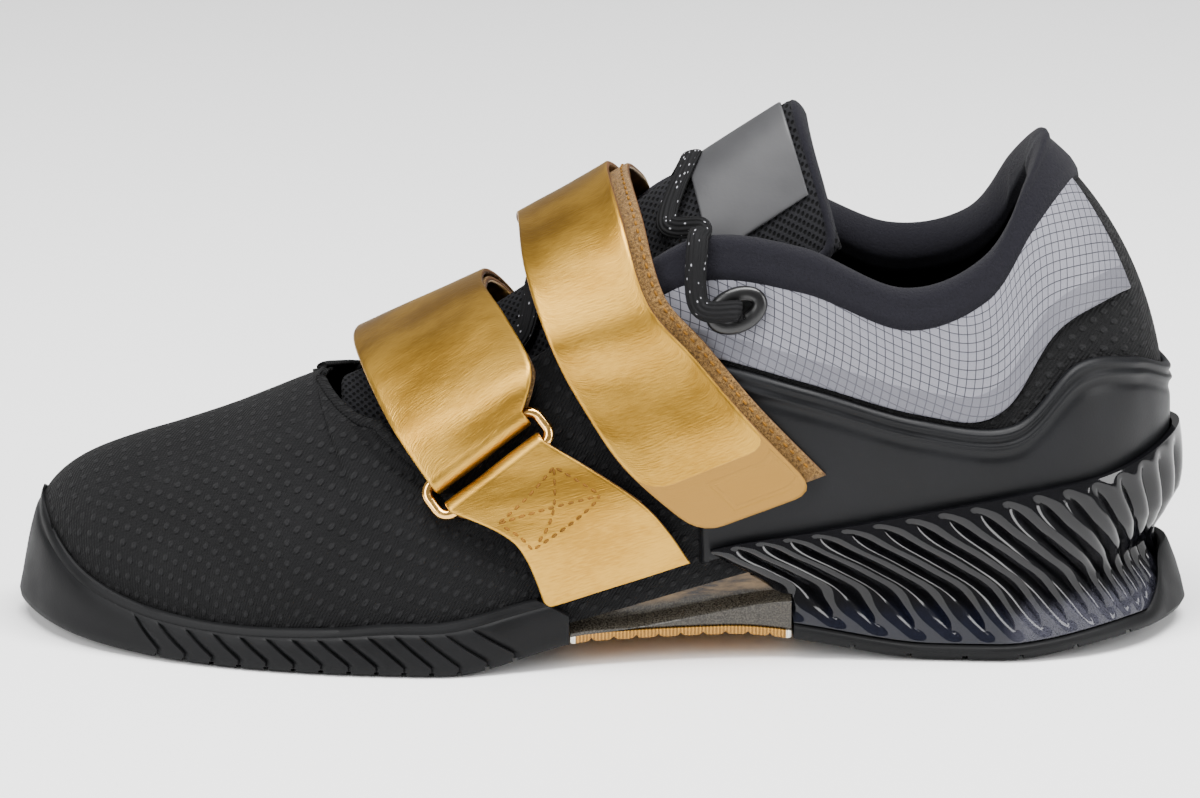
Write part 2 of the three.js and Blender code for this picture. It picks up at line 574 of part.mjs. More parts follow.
// Counter: a smooth wrap round the heel, from inside the heel block up to its raised edge.
const counterFront = rowAt(along(0.58));
const counterHigh = (t) => shareAt(t, through(column.counterUp, t) * collarHeight);
const counterLow = (t) => shareAt(t, soleTop(t) - 4);
const counter = panel(
  counterFront, loopRows - counterFront, 6, counterLow, counterHigh, seatGap, counterThickness,
);
add("heel_counter", counter, 0x2f3033, 0.6);

// Quarters: ripstop panels between the counter's edge and the collar, split at the back of the heel.
const quarterHigh = bindingLow - 0.015;
const quarterFront = rowAt(along(0.55));
const quarterRear = rowAt(along(0.985));
const aboveCounter = (t) => shareAt(t, through(column.counterUp, t) * collarHeight + 1.2);
const ripstopLow = (t) => mix(aboveCounter(t), shareAt(t, 0.7 * collarHeight), smooth(12.4, 15.2, Math.min(t, loopRows - t)));
for (const eyelet of eyelets) {
  const lateral = eyelet.name === "lateral";
  const ends = lateral ? [quarterFront, quarterRear] : [loopRows - quarterRear, loopRows - quarterFront];
  let quarter = panel(...ends, 5, ripstopLow, () => quarterHigh, seatGap, panelThickness);
  quarter = quarter.subtract(eyeletHole(eyelet));
  add(`quarter_${eyelet.name}`, quarter, 0xa9a9b2, 0.6);
}

// Collar binding: a soft strip that wraps the rim from the outside to the inside.
const bindingFront = rowAt(along(0.59));
function bindingSolid() {
  const ts = lattice(bindingFront, loopRows - bindingFront);
  const low = bindingLow;
  const face = (distance) =>
    ts.map((t) => {
      const wall = wallAt(t, 1);
      const outer = offsetPoint(t, 1, distance);
      const inner = offsetPoint(t, 1, -wall - distance);
      const crest = offsetPoint(t, 1, -wall / 2);
      crest.z += 0.38 * wall + distance * 1.25;
      return [
        offsetPoint(t, low, distance),
        outer.setZ(outer.z + 0.3 * distance),
        crest,
        inner.setZ(inner.z + 0.3 * distance),
        offsetPoint(t, low, -wallAt(t, low) - distance),
      ];
    });
  return plate(face(3 * seatGap + bindingThickness), face(3 * seatGap));
}
add("collar_binding", bindingSolid(), 0x2c2b33, 0.95);

// Tongue: from under the front of the throat up the instep. The rows hold its middle line and how far
// its edges reach and drop: shares of the length, of half the ball width and of the collar height.
const tongueRows = [
  { at: 0.28, side: 0.1, up: 0.46, halfWidth: 0.36, drop: 0.11 },
  { at: 0.34, side: 0.09, up: 0.52, halfWidth: 0.46, drop: 0.19 },
  { at: 0.4, side: 0.07, up: 0.595, halfWidth: 0.5, drop: 0.23 },
  { at: 0.46, side: 0.05, up: 0.69, halfWidth: 0.52, drop: 0.25 },
  { at: 0.52, side: 0.02, up: 0.805, halfWidth: 0.5, drop: 0.26 },
  { at: 0.59, side: 0, up: 0.925, halfWidth: 0.44, drop: 0.26 },
  { at: 0.668, side: 0, up: 1.045, halfWidth: 0.36, drop: 0.25 },
];
const tongueSweep = 9; // how far the tongue's top corners stand back behind its middle
function tonguePoint(u, w) {
  const k = u * (tongueRows.length - 1);
  const read = (key) => through(tongueRows.map((row) => row[key]), k, false);
  return new THREE.Vector3(
    along(read("at")) + tongueSweep * w * w * u,
    (read("side") + w * read("halfWidth")) * halfBall,
    (read("up") - read("drop") * Math.pow(Math.abs(w), 1.8)) * collarHeight,
  );
}
function sheetNormal(point, u, w) {
  const d = 0.01;
  const byU = point(u + d, w).sub(point(u - d, w));
  const byW = point(u, w + d).sub(point(u, w - d));
  const normal = byU.cross(byW).normalize();
  return normal;
}
function sheetSolid(point, rows, across, thickness, lift = 0) {
  const face = (distance) =>
    rows.map((u) => across.map((w) => point(u, w).addScaledVector(sheetNormal(point, u, w), distance)));
  return plate(face(lift + thickness / 2), face(lift - thickness / 2));
}
add("tongue", sheetSolid(tonguePoint, steps(11), steps(6, -1, 1), tongueThickness), 0x1a1a1c, 0.9);

// A plain label on the tongue, near its top.
const labelThickness = 0.9;
const labelLift = tongueThickness / 2 + 2 * seatGap + labelThickness / 2;
const label = sheetSolid(tonguePoint, steps(5, 0.85, 0.98), steps(5, -0.66, 0.34), labelThickness, labelLift);
add("tongue_label", label, 0x8e8e90, 0.5);

// Where the wall has the given place along the shoe and height, on the lateral (-1) or medial (1) side.
function wallSpot(x, z, hand) {
  let t = hand < 0 ? rowAt(x) : loopRows - rowAt(x);
  let s = 0;
  for (let i = 0; i < 12; i++) {
    s = shareAt(t, z);
    const slope = (upperPoint(t + 0.05, s).x - upperPoint(t - 0.05, s).x) / 0.1;
    t += (x - upperPoint(t, s).x) / slope;
  }
  return { t, s };
}
const onWall = (x, z, hand, lift) => {
  const spot = wallSpot(x, z, hand);
  return offsetPoint(spot.t, spot.s, lift);
};

// A strap's ring: a rectangle of wire that lies on the wall over the strap's under layer.
const strapClearance = 1.2; // between a strap and the wall under it
const ringLift = strapClearance + strapThickness + seatGap + ringWire / 2;
const ringHalfLength = 17;
const ringHalfWidth = 4.6;
const ringCorner = 3;
const foldRadius = ringWire / 2 + seatGap + strapThickness / 2;
function ringFrame({ at, up, hand, turn }) {
  const spot = wallSpot(along(at), up * collarHeight, hand);
  return wallFrame(spot.t, spot.s, ringLift, turn);
}
function ringSolid(frame) {
  const corners = [];
  for (const [cx, cy, start] of [[1, 1, 0], [-1, 1, 90], [-1, -1, 180], [1, -1, 270]])
    for (const angle of [0, 45, 90])
      corners.push(
        new THREE.Vector3(
          cx * (ringHalfLength - ringCorner) + ringCorner * Math.cos(rad(start + angle)),
          cy * (ringHalfWidth - ringCorner) + ringCorner * Math.sin(rad(start + angle)),
          0,
        ),
      );
  const sides = 8;
  const rows = [...corners, corners[0]].map((p, i) => {
    const along1 = corners[(i + 1) % 12].clone().sub(corners[(i + 11) % 12]).normalize();
    const side = new THREE.Vector3(along1.y, -along1.x, 0);
    return steps(sides).map((q) => {
      const a = 2 * Math.PI * (q % 1);
      return p.clone().addScaledVector(side, Math.cos(a) * ringWire / 2).setZ(Math.sin(a) * ringWire / 2).applyMatrix4(frame);
    });
  });
  return new Skin().sheet(rows).solid();
}
const frontRing = { at: 0.406, up: 0.393, hand: -1, turn: rad(40) };
const rearRing = { at: 0.507, up: 0.625, hand: 1, turn: rad(-38) };

// Straps. Each row gives the strap's two edges. With a side it is a free place, else it lies on the
// wall at the lift. Shares of the length, of half the ball width and of the collar height.
const strapHalfWidth = 14.5;
function strapSurface(rows, hands, ring, across) {
  const lines = rows.map((row, i) => {
    const place = (at, side, up) =>
      side === null
        ? onWall(along(at), up * collarHeight, hands[i], row.lift)
        : new THREE.Vector3(along(at), side * halfBall, up * collarHeight);
    return [place(row.frontAt, row.frontSide, row.frontUp), place(row.rearAt, row.rearSide, row.rearUp)];
  });
  const frame = ringFrame(ring);
  const bar = (x) => new THREE.Vector3(x, across * (ringHalfWidth + 0.01), foldRadius).applyMatrix4(frame);
  const ends = [bar(-strapHalfWidth), bar(strapHalfWidth)];
  if (ring.hand > 0) ends.reverse();
  lines.push(ends);
  const read = (key, edge) => lines.map((line) => line[edge][key]);
  return (u, w) => {
    const k = Math.min(Math.max(u, 0), 1) * (lines.length - 1);
    const value = (key) => mix(through(read(key, 0), k, false), through(read(key, 1), k, false), w);
    return new THREE.Vector3(value("x"), value("y"), value("z"));
  };
}
// A ribbon over a grid of points along its middle.
function ribbon(grid, thickness) {
  const normalAt = (i, j) => {
    const pick = (a, b) => grid[Math.min(Math.max(a, 0), grid.length - 1)][Math.min(Math.max(b, 0), grid[0].length - 1)];
    const byI = pick(i + 1, j).clone().sub(pick(i - 1, j));
    const byJ = pick(i, j + 1).clone().sub(pick(i, j - 1));
    return byI.cross(byJ).normalize();
  };
  const face = (d) => grid.map((line, i) => line.map((p, j) => p.clone().addScaledVector(normalAt(i, j), d)));
  return plate(face(thickness / 2), face(-thickness / 2));
}
// The strap comes along its surface to the ring, folds round the wire and runs back underneath.
function foldedStrap(surface, frame, across, backTo, skew, top) {
  const widths = steps(2);
  const out = new THREE.Vector3().setFromMatrixColumn(frame, 2);
  const down = new THREE.Vector3().setFromMatrixColumn(frame, 1).multiplyScalar(-across);
  const rows = steps(top).map((u) => widths.map((w) => surface(u, w)));
  for (const angle of [30, 60, 90, 120, 150, 180]) {
    const ahead = Math.sin(rad(angle)) * foldRadius;
    const under = (1 - Math.cos(rad(angle))) * foldRadius;
    rows.push(widths.map((w) => surface(1, w).addScaledVector(down, ahead).addScaledVector(out, -under)));
  }
  const pitch = strapThickness + 2 * seatGap;
  const backSteps = Math.ceil(top * (1 - backTo));
  for (const u of steps(backSteps, 1, backTo).slice(1)) {
    const away = smooth(0, 0.25, 1 - u);
    rows.push(
      widths.map((w) => {
        const p = surface(u, w);
        const n = sheetNormal(surface, Math.min(u, 0.99), 0.5);
        if (n.dot(new THREE.Vector3(0, Math.sign(p.y), 1)) < 0) n.negate();
        n.lerp(out, 1 - away).normalize();
        return p.addScaledVector(n, -mix(2 * foldRadius, pitch, away)).add(skew.clone().multiplyScalar(away));
      }),
    );
  }
  return ribbon(rows, strapThickness);
}
const frontStrapRows = [
  { frontAt: 0.41, frontSide: null, frontUp: 0.17, rearAt: 0.515, rearSide: null, rearUp: 0.21, lift: 4.2 },
  { frontAt: 0.37, frontSide: null, frontUp: 0.36, rearAt: 0.475, rearSide: null, rearUp: 0.42, lift: 4.2 },
  { frontAt: 0.325, frontSide: 0.66, frontUp: 0.5, rearAt: 0.43, rearSide: 0.71, rearUp: 0.59, lift: 0 },
  { frontAt: 0.3, frontSide: 0.42, frontUp: 0.56, rearAt: 0.405, rearSide: 0.42, rearUp: 0.675, lift: 0 },
  { frontAt: 0.29, frontSide: 0.1, frontUp: 0.572, rearAt: 0.4, rearSide: 0.06, rearUp: 0.685, lift: 0 },
  { frontAt: 0.3, frontSide: -0.3, frontUp: 0.545, rearAt: 0.42, rearSide: -0.34, rearUp: 0.652, lift: 0 },
  { frontAt: 0.325, frontSide: -0.66, frontUp: 0.465, rearAt: 0.44, rearSide: -0.68, rearUp: 0.59, lift: 0 },
];
const anchorRows = [
  { frontAt: 0.45, frontSide: null, frontUp: 0.125, rearAt: 0.57, rearSide: null, rearUp: 0.205, lift: 4.8 },
  { frontAt: 0.425, frontSide: null, frontUp: 0.25, rearAt: 0.53, rearSide: null, rearUp: 0.33, lift: 4.6 },
];
const rearStrapRows = [
  { frontAt: 0.577, frontSide: null, frontUp: 0.27, rearAt: 0.675, rearSide: null, rearUp: 0.355, lift: 5.8 },
  { frontAt: 0.517, frontSide: null, frontUp: 0.395, rearAt: 0.62, rearSide: null, rearUp: 0.49, lift: 5.8 },
  { frontAt: 0.48, frontSide: null, frontUp: 0.525, rearAt: 0.575, rearSide: null, rearUp: 0.61, lift: 5.8 },
  { frontAt: 0.453, frontSide: -0.72, frontUp: 0.65, rearAt: 0.535, rearSide: -0.74, rearUp: 0.725, lift: 0 },
  { frontAt: 0.435, frontSide: -0.44, frontUp: 0.76, rearAt: 0.515, rearSide: -0.46, rearUp: 0.865, lift: 0 },
  { frontAt: 0.43, frontSide: 0.05, frontUp: 0.82, rearAt: 0.505, rearSide: 0.05, rearUp: 0.925, lift: 0 },
  { frontAt: 0.43, frontSide: 0.5, frontUp: 0.765, rearAt: 0.52, rearSide: 0.5, rearUp: 0.87, lift: 0 },
  { frontAt: 0.445, frontSide: 0.72, frontUp: 0.7, rearAt: 0.535, rearSide: 0.74, rearUp: 0.8, lift: 0 },
];
const rearAnchorRows = [
  { frontAt: 0.555, frontSide: null, frontUp: 0.24, rearAt: 0.655, rearSide: null, rearUp: 0.29, lift: 5.6 },
  { frontAt: 0.51, frontSide: null, frontUp: 0.43, rearAt: 0.62, rearSide: null, rearUp: 0.51, lift: 5.6 },
];
const gold = 0xc79a48;
const flat = new THREE.Vector3();
const frontFrame = ringFrame(frontRing);
const rearFrame = ringFrame(rearRing);
add("front_ring", ringSolid(frontFrame), 0xd8b066, 0.25, 1);
add("rear_ring", ringSolid(rearFrame), 0xd8b066, 0.25, 1);
const frontSurface = strapSurface(frontStrapRows, [1, 1, 1, 1, 1, -1, -1], frontRing, 1);
add("front_strap", foldedStrap(frontSurface, frontFrame, 1, 0.3, flat, 21), gold, 0.4, 0.6);
const anchorSurface = strapSurface(anchorRows, [-1, -1], frontRing, -1);
add("front_anchor", foldedStrap(anchorSurface, frontFrame, -1, 0.5, flat, 8), gold, 0.4, 0.6);
const rearSurface = strapSurface(rearStrapRows, [-1, -1, -1, -1, -1, -1, 1, 1], rearRing, 1);
const underSkew = new THREE.Vector3(4, 0, 1.5);
add("rear_strap", foldedStrap(rearSurface, rearFrame, 1, 0.02, underSkew, 22), gold, 0.4, 0.6);
const rearAnchorSurface = strapSurface(rearAnchorRows, [1, 1], rearRing, -1);
add("rear_anchor", foldedStrap(rearAnchorSurface, rearFrame, -1, 0.5, flat, 8), gold, 0.4, 0.6);

// Top eyelets: black oval rings on the quarters. The lace comes out of them.
const eyeletTurn = (name) => (name === "lateral" ? rad(25) : rad(-25));
for (const { t, s, name } of eyelets) {
  const lift = 2 * seatGap + panelThickness + eyeletWire / 2;
  const frame = wallFrame(t, s, lift, eyeletTurn(name));
  const sides = 6;
  const grid = steps(12).map((q) => {
    const a = 2 * Math.PI * (q % 1);
    const out = new THREE.Vector3(Math.cos(a), Math.sin(a), 0);
    const middle = new THREE.Vector3(eyeletHalfLength * Math.cos(a), eyeletHalfWidth * Math.sin(a), 0);
    return steps(sides).map((r) => {
      const b = 2 * Math.PI * (r % 1);
      const p = middle.clone().addScaledVector(out, (Math.cos(b) * eyeletWire) / 2);
      return p.setZ((Math.sin(b) * eyeletWire) / 2).applyMatrix4(frame);
    });
  });
  add(`eyelet_${name}`, new Skin().sheet(grid).solid(), 0x0e0e0f, 0.3);
}

// Laces: a flat cord along places over the tongue. side is in half ball widths, raise in lace
// thicknesses over the tongue's face.
function overTongue(x, y, raise) {
  const u = solve((v) => tonguePoint(v, 0).x, x, 0, 1);
  const half = tonguePoint(u, 1).y - tonguePoint(u, 0).y;
  const w = Math.max(-1, Math.min(1, (y - tonguePoint(u, 0).y) / half));
  const level = (tongueThickness / 2 + 2 * seatGap + laceThickness / 2) / Math.abs(sheetNormal(tonguePoint, u, w).z);
  return new THREE.Vector3(x, y, tonguePoint(u, w).z + level + raise * laceThickness);
}
function cord(points, width, thickness) {
  const curve = new THREE.CatmullRomCurve3(points, false, "centripetal");
  const count = Math.round(points.length * 2.6);
  const sides = 8;
  const grid = steps(count).map((q) => {
    const p = curve.getPointAt(q);
    const tangent = curve.getTangentAt(q);
    const side = new THREE.Vector3().crossVectors(tangent, new THREE.Vector3(0, 0, 1)).normalize();
    const up = new THREE.Vector3().crossVectors(side, tangent);
    return steps(sides).map((r) => {
      const a = 2 * Math.PI * (r % 1);
      const rim = p.clone().addScaledVector(side, (Math.cos(a) * width) / 2);
      return rim.addScaledVector(up, (Math.sin(a) * thickness) / 2);
    });
  });
  const skin = new Skin().sheet(grid);
  for (let r = 1; r + 1 < sides; r++) {
    skin.triangle(grid[0][0], grid[0][r], grid[0][r + 1]);
    skin.triangle(grid[count][0], grid[count][r + 1], grid[count][r]);
  }
  return skin.solid();
}
const lacePath = (rows) => rows.map(({ at, side, raise }) => overTongue(along(at), side * halfBall, raise));
const lowerLace = [
  { at: 0.315, side: -0.18, raise: 0.3 },
  { at: 0.33, side: 0.1, raise: 0.25 },
  { at: 0.348, side: 0.34, raise: 0.4 },
  { at: 0.375, side: 0.36, raise: 0.4 },
  { at: 0.392, side: 0.05, raise: 0.3 },
  { at: 0.405, side: -0.26, raise: 0.4 },
  { at: 0.43, side: -0.28, raise: 0.4 },
  { at: 0.447, side: 0.05, raise: 0.3 },
  { at: 0.465, side: 0.36, raise: 0.4 },
];
add("lace_lower", cord(lacePath(lowerLace), laceWidth, laceThickness), 0x161617, 0.9);
// The upper lace leaves each top eyelet, climbs over the collar's rim and crosses the tongue.
const upperLace = [
  { at: 0.553, side: -0.3, raise: 0.8 },
  { at: 0.575, side: 0, raise: 0.4 },
  { at: 0.563, side: 0.3, raise: 0.8 },
];
const rimSide = (t) => [
  offsetPoint(t, 0.83, 5.4),
  offsetPoint(t, 1, 3.4).add(new THREE.Vector3(0, 0, 3)),
  offsetPoint(t, 1, -4).add(new THREE.Vector3(0, 0, 6.4)),
];
const eyeletEnd = ({ t, s }) => offsetPoint(t, s, 2 * seatGap + panelThickness + eyeletWire + laceThickness + 1.2);
const rimRow = rowAt(along(0.6));
const upperPath = [
  eyeletEnd(eyelets[0]),
  ...rimSide(rimRow),
  ...lacePath(upperLace),
  ...rimSide(loopRows - rimRow).reverse(),
  eyeletEnd(eyelets[1]),
];
add("lace_upper", cord(upperPath, laceWidth, laceThickness), 0x161617, 0.9);

// The origin goes to the middle of the shoe's box, at the floor.
const box = new THREE.Box3().setFromObject(shoe);
const middle = box.getCenter(new THREE.Vector3());
shoe.children.forEach((mesh) => mesh.geometry.translate(-middle.x, -middle.y, -box.min.z));

export default shoe;
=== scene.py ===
import json
import math
import bmesh
import bpy
import numpy as np
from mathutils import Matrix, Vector

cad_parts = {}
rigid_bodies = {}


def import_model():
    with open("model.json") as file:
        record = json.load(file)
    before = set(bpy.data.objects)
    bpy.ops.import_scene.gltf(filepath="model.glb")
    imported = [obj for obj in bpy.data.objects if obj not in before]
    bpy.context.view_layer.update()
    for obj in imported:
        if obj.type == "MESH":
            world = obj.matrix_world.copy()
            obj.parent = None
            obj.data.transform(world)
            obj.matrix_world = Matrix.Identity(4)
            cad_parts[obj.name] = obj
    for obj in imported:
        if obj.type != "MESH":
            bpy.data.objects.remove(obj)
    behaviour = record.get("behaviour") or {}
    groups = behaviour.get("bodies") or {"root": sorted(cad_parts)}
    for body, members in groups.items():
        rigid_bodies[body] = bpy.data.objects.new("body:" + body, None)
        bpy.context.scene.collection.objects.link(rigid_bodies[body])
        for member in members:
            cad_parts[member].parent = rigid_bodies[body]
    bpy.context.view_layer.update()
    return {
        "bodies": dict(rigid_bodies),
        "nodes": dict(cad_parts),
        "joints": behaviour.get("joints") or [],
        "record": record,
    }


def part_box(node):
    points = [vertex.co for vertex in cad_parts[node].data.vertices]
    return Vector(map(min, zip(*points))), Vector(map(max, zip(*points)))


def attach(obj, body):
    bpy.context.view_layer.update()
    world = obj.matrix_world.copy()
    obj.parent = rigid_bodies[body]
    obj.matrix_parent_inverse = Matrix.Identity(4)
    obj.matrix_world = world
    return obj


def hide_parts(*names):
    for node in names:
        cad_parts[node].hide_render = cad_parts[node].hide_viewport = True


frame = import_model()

# Upper. One wall of engineered knit, lasted over the foot's form and open along the throat and the
# collar. Its rows are the sections of the last: shares of the length, the half ball width and the
# collar's height. Sizes here are millimetres, and a mesh is made in metres.
MM = 0.001
shoe_length = 300
half_ball = 52
collar_height = 127
footbed_fore = 6.5
footbed_heel = 30
toe_spring = 4
heel_bevel = 3.6
arch_lift = 6.5
upper_wall = 2.2
collar_pad = 5.5
seat_gap = 0.35
sections = np.array([
    # at, lateral, medial, inset, belly_out, belly_up, shoulder_out, shoulder_drop, sole_up, counter_up
    [0.0, 0.15, 0.15, 0.125, 0.135, 0.2, 0.38, 0, 0.26, 0.26],
    [0.018, -0.17, 0.46, 0.115, 0.125, 0.195, 0.38, 0, 0.213, 0.213],
    [0.055, -0.45, 0.7, 0.1, 0.085, 0.18, 0.38, 0, 0.142, 0.142],
    [0.11, -0.665, 0.845, 0.095, 0.07, 0.16, 0.4, 0, 0.0945, 0.1],
    [0.18, -0.835, 0.93, 0.095, 0.07, 0.165, 0.44, 0, 0.0756, 0.09],
    [0.255, -0.95, 0.96, 0.095, 0.07, 0.175, 0.48, 0, 0.079, 0.09],
    [0.32, -1.0, 0.94, 0.095, 0.07, 0.19, 0.48, 0.02, 0.092, 0.1],
    [0.375, -1.01, 0.895, 0.09, 0.06, 0.2, 0.36, 0.07, 0.1, 0.3],
    [0.44, -0.93, 0.81, 0.075, 0.05, 0.19, 0.24, 0.12, 0.134, 0.5],
    [0.51, -0.83, 0.7, 0.05, 0.05, 0.2, 0.19, 0.16, 0.17, 0.62],
    [0.59, -0.76, 0.635, 0.05, 0.08, 0.235, 0.15, 0.2, 0.236, 0.606],
    [0.68, -0.745, 0.645, 0.08, 0.1, 0.22, 0.13, 0.19, 0.27, 0.55],
    [0.77, -0.78, 0.72, 0.12, 0.12, 0.19, 0.13, 0.16, 0.31, 0.488],
    [0.85, -0.8, 0.77, 0.155, 0.14, 0.19, 0.15, 0.16, 0.343, 0.472],
    [0.92, -0.675, 0.665, 0.175, 0.17, 0.19, 0.3, 0.16, 0.362, 0.583],
    [0.97, -0.42, 0.42, 0.205, 0.2, 0.185, 0.47, 0.175, 0.39, 0.575],
    [1.0, 0, 0, 0.235, 0.235, 0.17, 0.58, 0.195, 0.41, 0.53],
])
ridge = np.array([
    # at, side, up
    [0.113, 0.115, 0.372],
    [0.117, 0.115, 0.375],
    [0.128, 0.115, 0.383],
    [0.15, 0.113, 0.399],
    [0.193, 0.108, 0.434],
    [0.243, 0.1, 0.483],
    [0.26, 0.096, 0.502],
])
rim = np.array([
    # at, lateral, lateral_up, medial, medial_up, pad
    [0.26, 0.096, 0.502, 0.096, 0.502, 0],
    [0.3, -0.36, 0.445, 0.48, 0.48, 0],
    [0.373, -0.5, 0.495, 0.58, 0.52, 0],
    [0.467, -0.54, 0.63, 0.6, 0.65, 0.05],
    [0.567, -0.56, 0.8, 0.6, 0.835, 0.35],
    [0.66, -0.61, 0.785, 0.63, 0.805, 0.8],
    [0.748, -0.62, 0.7, 0.63, 0.722, 1],
    [0.815, -0.53, 0.752, 0.54, 0.758, 1],
    [0.848, -0.355, 0.88, 0.365, 0.885, 1],
    [0.866, -0.165, 0.955, 0.17, 0.955, 0.7],
    [0.871, 0, 0.97, 0, 0.97, 0.6],
])
heel_row = len(sections) - 1
throat_row = len(ridge) - 1
loop_rows = 2 * heel_row


def round_shoe(table, lateral, medial=None):
    medial = lateral if medial is None else medial
    return np.concatenate([table[:, lateral], table[1:-1, medial][::-1]])


def through(values, t, closed=True):
    """A curve through values at 0, 1, 2 and so on."""
    n = len(values)
    k = np.floor(t).astype(int)
    f = t - k
    fix = (lambda i: np.mod(i, n)) if closed else (lambda i: np.clip(i, 0, n - 1))
    a, b, c, d = (values[fix(k + o)] for o in (-1, 0, 1, 2))
    return b + 0.5 * f * (c - a + f * (2 * a - 5 * b + 4 * c - d + f * (3 * (b - c) + d - a)))


def smooth(low, high, v):
    q = np.clip((v - low) / (high - low), 0, 1)
    return q * q * (3 - 2 * q)


def mix(a, b, q):
    return a + (b - a) * q


def along(share):
    return (share - 0.5) * shoe_length


def lift(x):
    return toe_spring * (np.maximum(0, along(0.2) - x) / (0.2 * shoe_length)) ** 2


def footbed(x):
    return mix(footbed_fore, footbed_heel, smooth(along(0.34), along(0.8), x)) + lift(x)


def underside(x):
    arch = arch_lift * smooth(along(0.37), along(0.49), x) * (1 - smooth(along(0.6), along(0.78), x))
    return lift(x) + arch + heel_bevel * smooth(along(0.825), along(0.95), x)


column_at = round_shoe(sections, 0)
column_side = round_shoe(sections, 1, 2)
columns = [round_shoe(sections, k) for k in range(3, 10)]
rim_at = round_shoe(rim, 0)
rim_side = round_shoe(rim, 1, 3)
rim_up = round_shoe(rim, 2, 4)
rim_pad = round_shoe(rim, 5)
ridge_slope = (ridge[3, 2] - ridge[0, 2]) * collar_height / ((ridge[3, 0] - ridge[0, 0]) * shoe_length)


def outline(t):
    return along(through(column_at, t)), through(column_side, t) * half_ball


def outward(t):
    ax, ay = outline(t - 0.02)
    bx, by = outline(t + 0.02)
    dx, dy = bx - ax, by - ay
    size = np.hypot(dx, dy)
    return dy / size, -dx / size


def same_shape(*values):
    return np.broadcast_arrays(*(np.asarray(value, float) for value in values))


def zipped(t):
    t = np.mod(t, loop_rows)
    return (t <= throat_row) | (t >= loop_rows - throat_row)


def top_point(t):
    t = np.mod(t, loop_rows)
    m = np.minimum(t, loop_rows - t)
    k = np.clip(m, 0, throat_row)
    r = np.clip(t - throat_row, 0, loop_rows - 2 * throat_row)
    z = zipped(t)
    x = np.where(z, along(through(ridge[:, 0], k, False)), along(through(rim_at, r)))
    y = np.where(z, through(ridge[:, 1], k, False), through(rim_side, r)) * half_ball
    up = np.where(z, through(ridge[:, 2], k, False), through(rim_up, r)) * collar_height
    return np.stack([x, y, up], -1)


def upper_point(t, s):
    """The outer face of the wall: t goes round the shoe, s up it from its foot to its top."""
    t, s = same_shape(t, s)
    ex, ey = outline(t)
    ox, oy = outward(t)
    top = top_point(t)
    inset, belly, belly_up, shoulder, drop = (through(columns[k], t) for k in range(5))
    drop = drop * collar_height - np.where(zipped(t), shoulder * half_ball * ox * ridge_slope, 0)
    fx, fy = ex - ox * inset * half_ball, ey - oy * inset * half_ball
    foot = np.stack([fx, fy, footbed(fx)], -1)
    low = foot + np.stack([ox * belly * half_ball, oy * belly * half_ball, belly_up * collar_height], -1)
    high = top + np.stack([ox * shoulder * half_ball, oy * shoulder * half_ball, -drop], -1)
    q = s[..., None]
    return (1 - q) ** 3 * foot + 3 * (1 - q) ** 2 * q * low + 3 * (1 - q) * q * q * high + q ** 3 * top


def unit(v):
    return v / np.maximum(np.linalg.norm(v, axis=-1, keepdims=True), 1e-9)


def upper_normal(t, s, step=0.01):
    t, s = same_shape(t, s)
    sideways = upper_point(t + step, s) - upper_point(t - step, s)
    upwards = upper_point(t, np.minimum(1, s + step)) - upper_point(t, np.maximum(0, s - step))
    return unit(np.cross(sideways, upwards))


def offset_point(t, s, distance):
    t, s, distance = same_shape(t, s, distance)
    normal = upper_normal(t, s)
    other = upper_normal(loop_rows - t, np.ones_like(s))
    normal = np.where(((s >= 1) & zipped(t))[..., None], unit(normal + other), normal)
    return upper_point(t, s) + normal * distance[..., None]


def wall_at(t, s):
    past_throat = np.clip(np.mod(t, loop_rows) - throat_row, 0, len(rim_pad))
    pad = np.where(zipped(t), 0, through(rim_pad, past_throat))
    return upper_wall + collar_pad * pad * smooth(0.45, 0.95, s)


# The source's origin is the middle of the shoe's box, so every mesh moves by the same step.
probe = upper_point(*np.meshgrid(np.arange(0, loop_rows, 0.5), np.linspace(0, 1, 8), indexing="ij"))
low_corner, high_corner = (np.array(c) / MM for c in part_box("upper"))
shift = np.array([
    (low_corner[0] + high_corner[0] - probe[..., 0].min() - probe[..., 0].max()) / 2,
    (low_corner[1] + high_corner[1] - probe[..., 1].min() - probe[..., 1].max()) / 2,
    0,
])
print("shift", shift)


def build(name, points, faces, replaced=(), uv=None, angle=None):
    """Makes a closed mesh object from millimetre points, its faces turned outwards."""
    mesh = bpy.data.meshes.new(name)
    place = (np.asarray(points).reshape(-1, 3) + shift) * MM
    mesh.from_pydata(place, [], [list(map(int, f)) for f in faces])
    if uv is not None:
        layer = mesh.uv_layers.new(name="flat")
        flat = np.asarray(uv, float).reshape(-1, 2) * MM
        corner = np.empty(len(mesh.loops), int)
        mesh.loops.foreach_get("vertex_index", corner)
        layer.data.foreach_set("uv", flat[corner].ravel())
    bm = bmesh.new()
    bm.from_mesh(mesh)
    bmesh.ops.remove_doubles(bm, verts=bm.verts, dist=2e-6)
    if bm.calc_volume(signed=True) < 0:
        bmesh.ops.reverse_faces(bm, faces=bm.faces)
    bm.to_mesh(mesh)
    bm.free()
    obj = bpy.data.objects.new(name, mesh)
    bpy.context.collection.objects.link(obj)
    for face in mesh.polygons:
        face.use_smooth = True
    if angle:
        bpy.ops.object.select_all(action="DESELECT")
        obj.select_set(True)
        bpy.context.view_layer.objects.active = obj
        bpy.ops.object.shade_smooth_by_angle(angle=math.radians(angle))
    if replaced is not None:
        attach(obj, "root")
        if replaced:
            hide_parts(*replaced)
    return obj


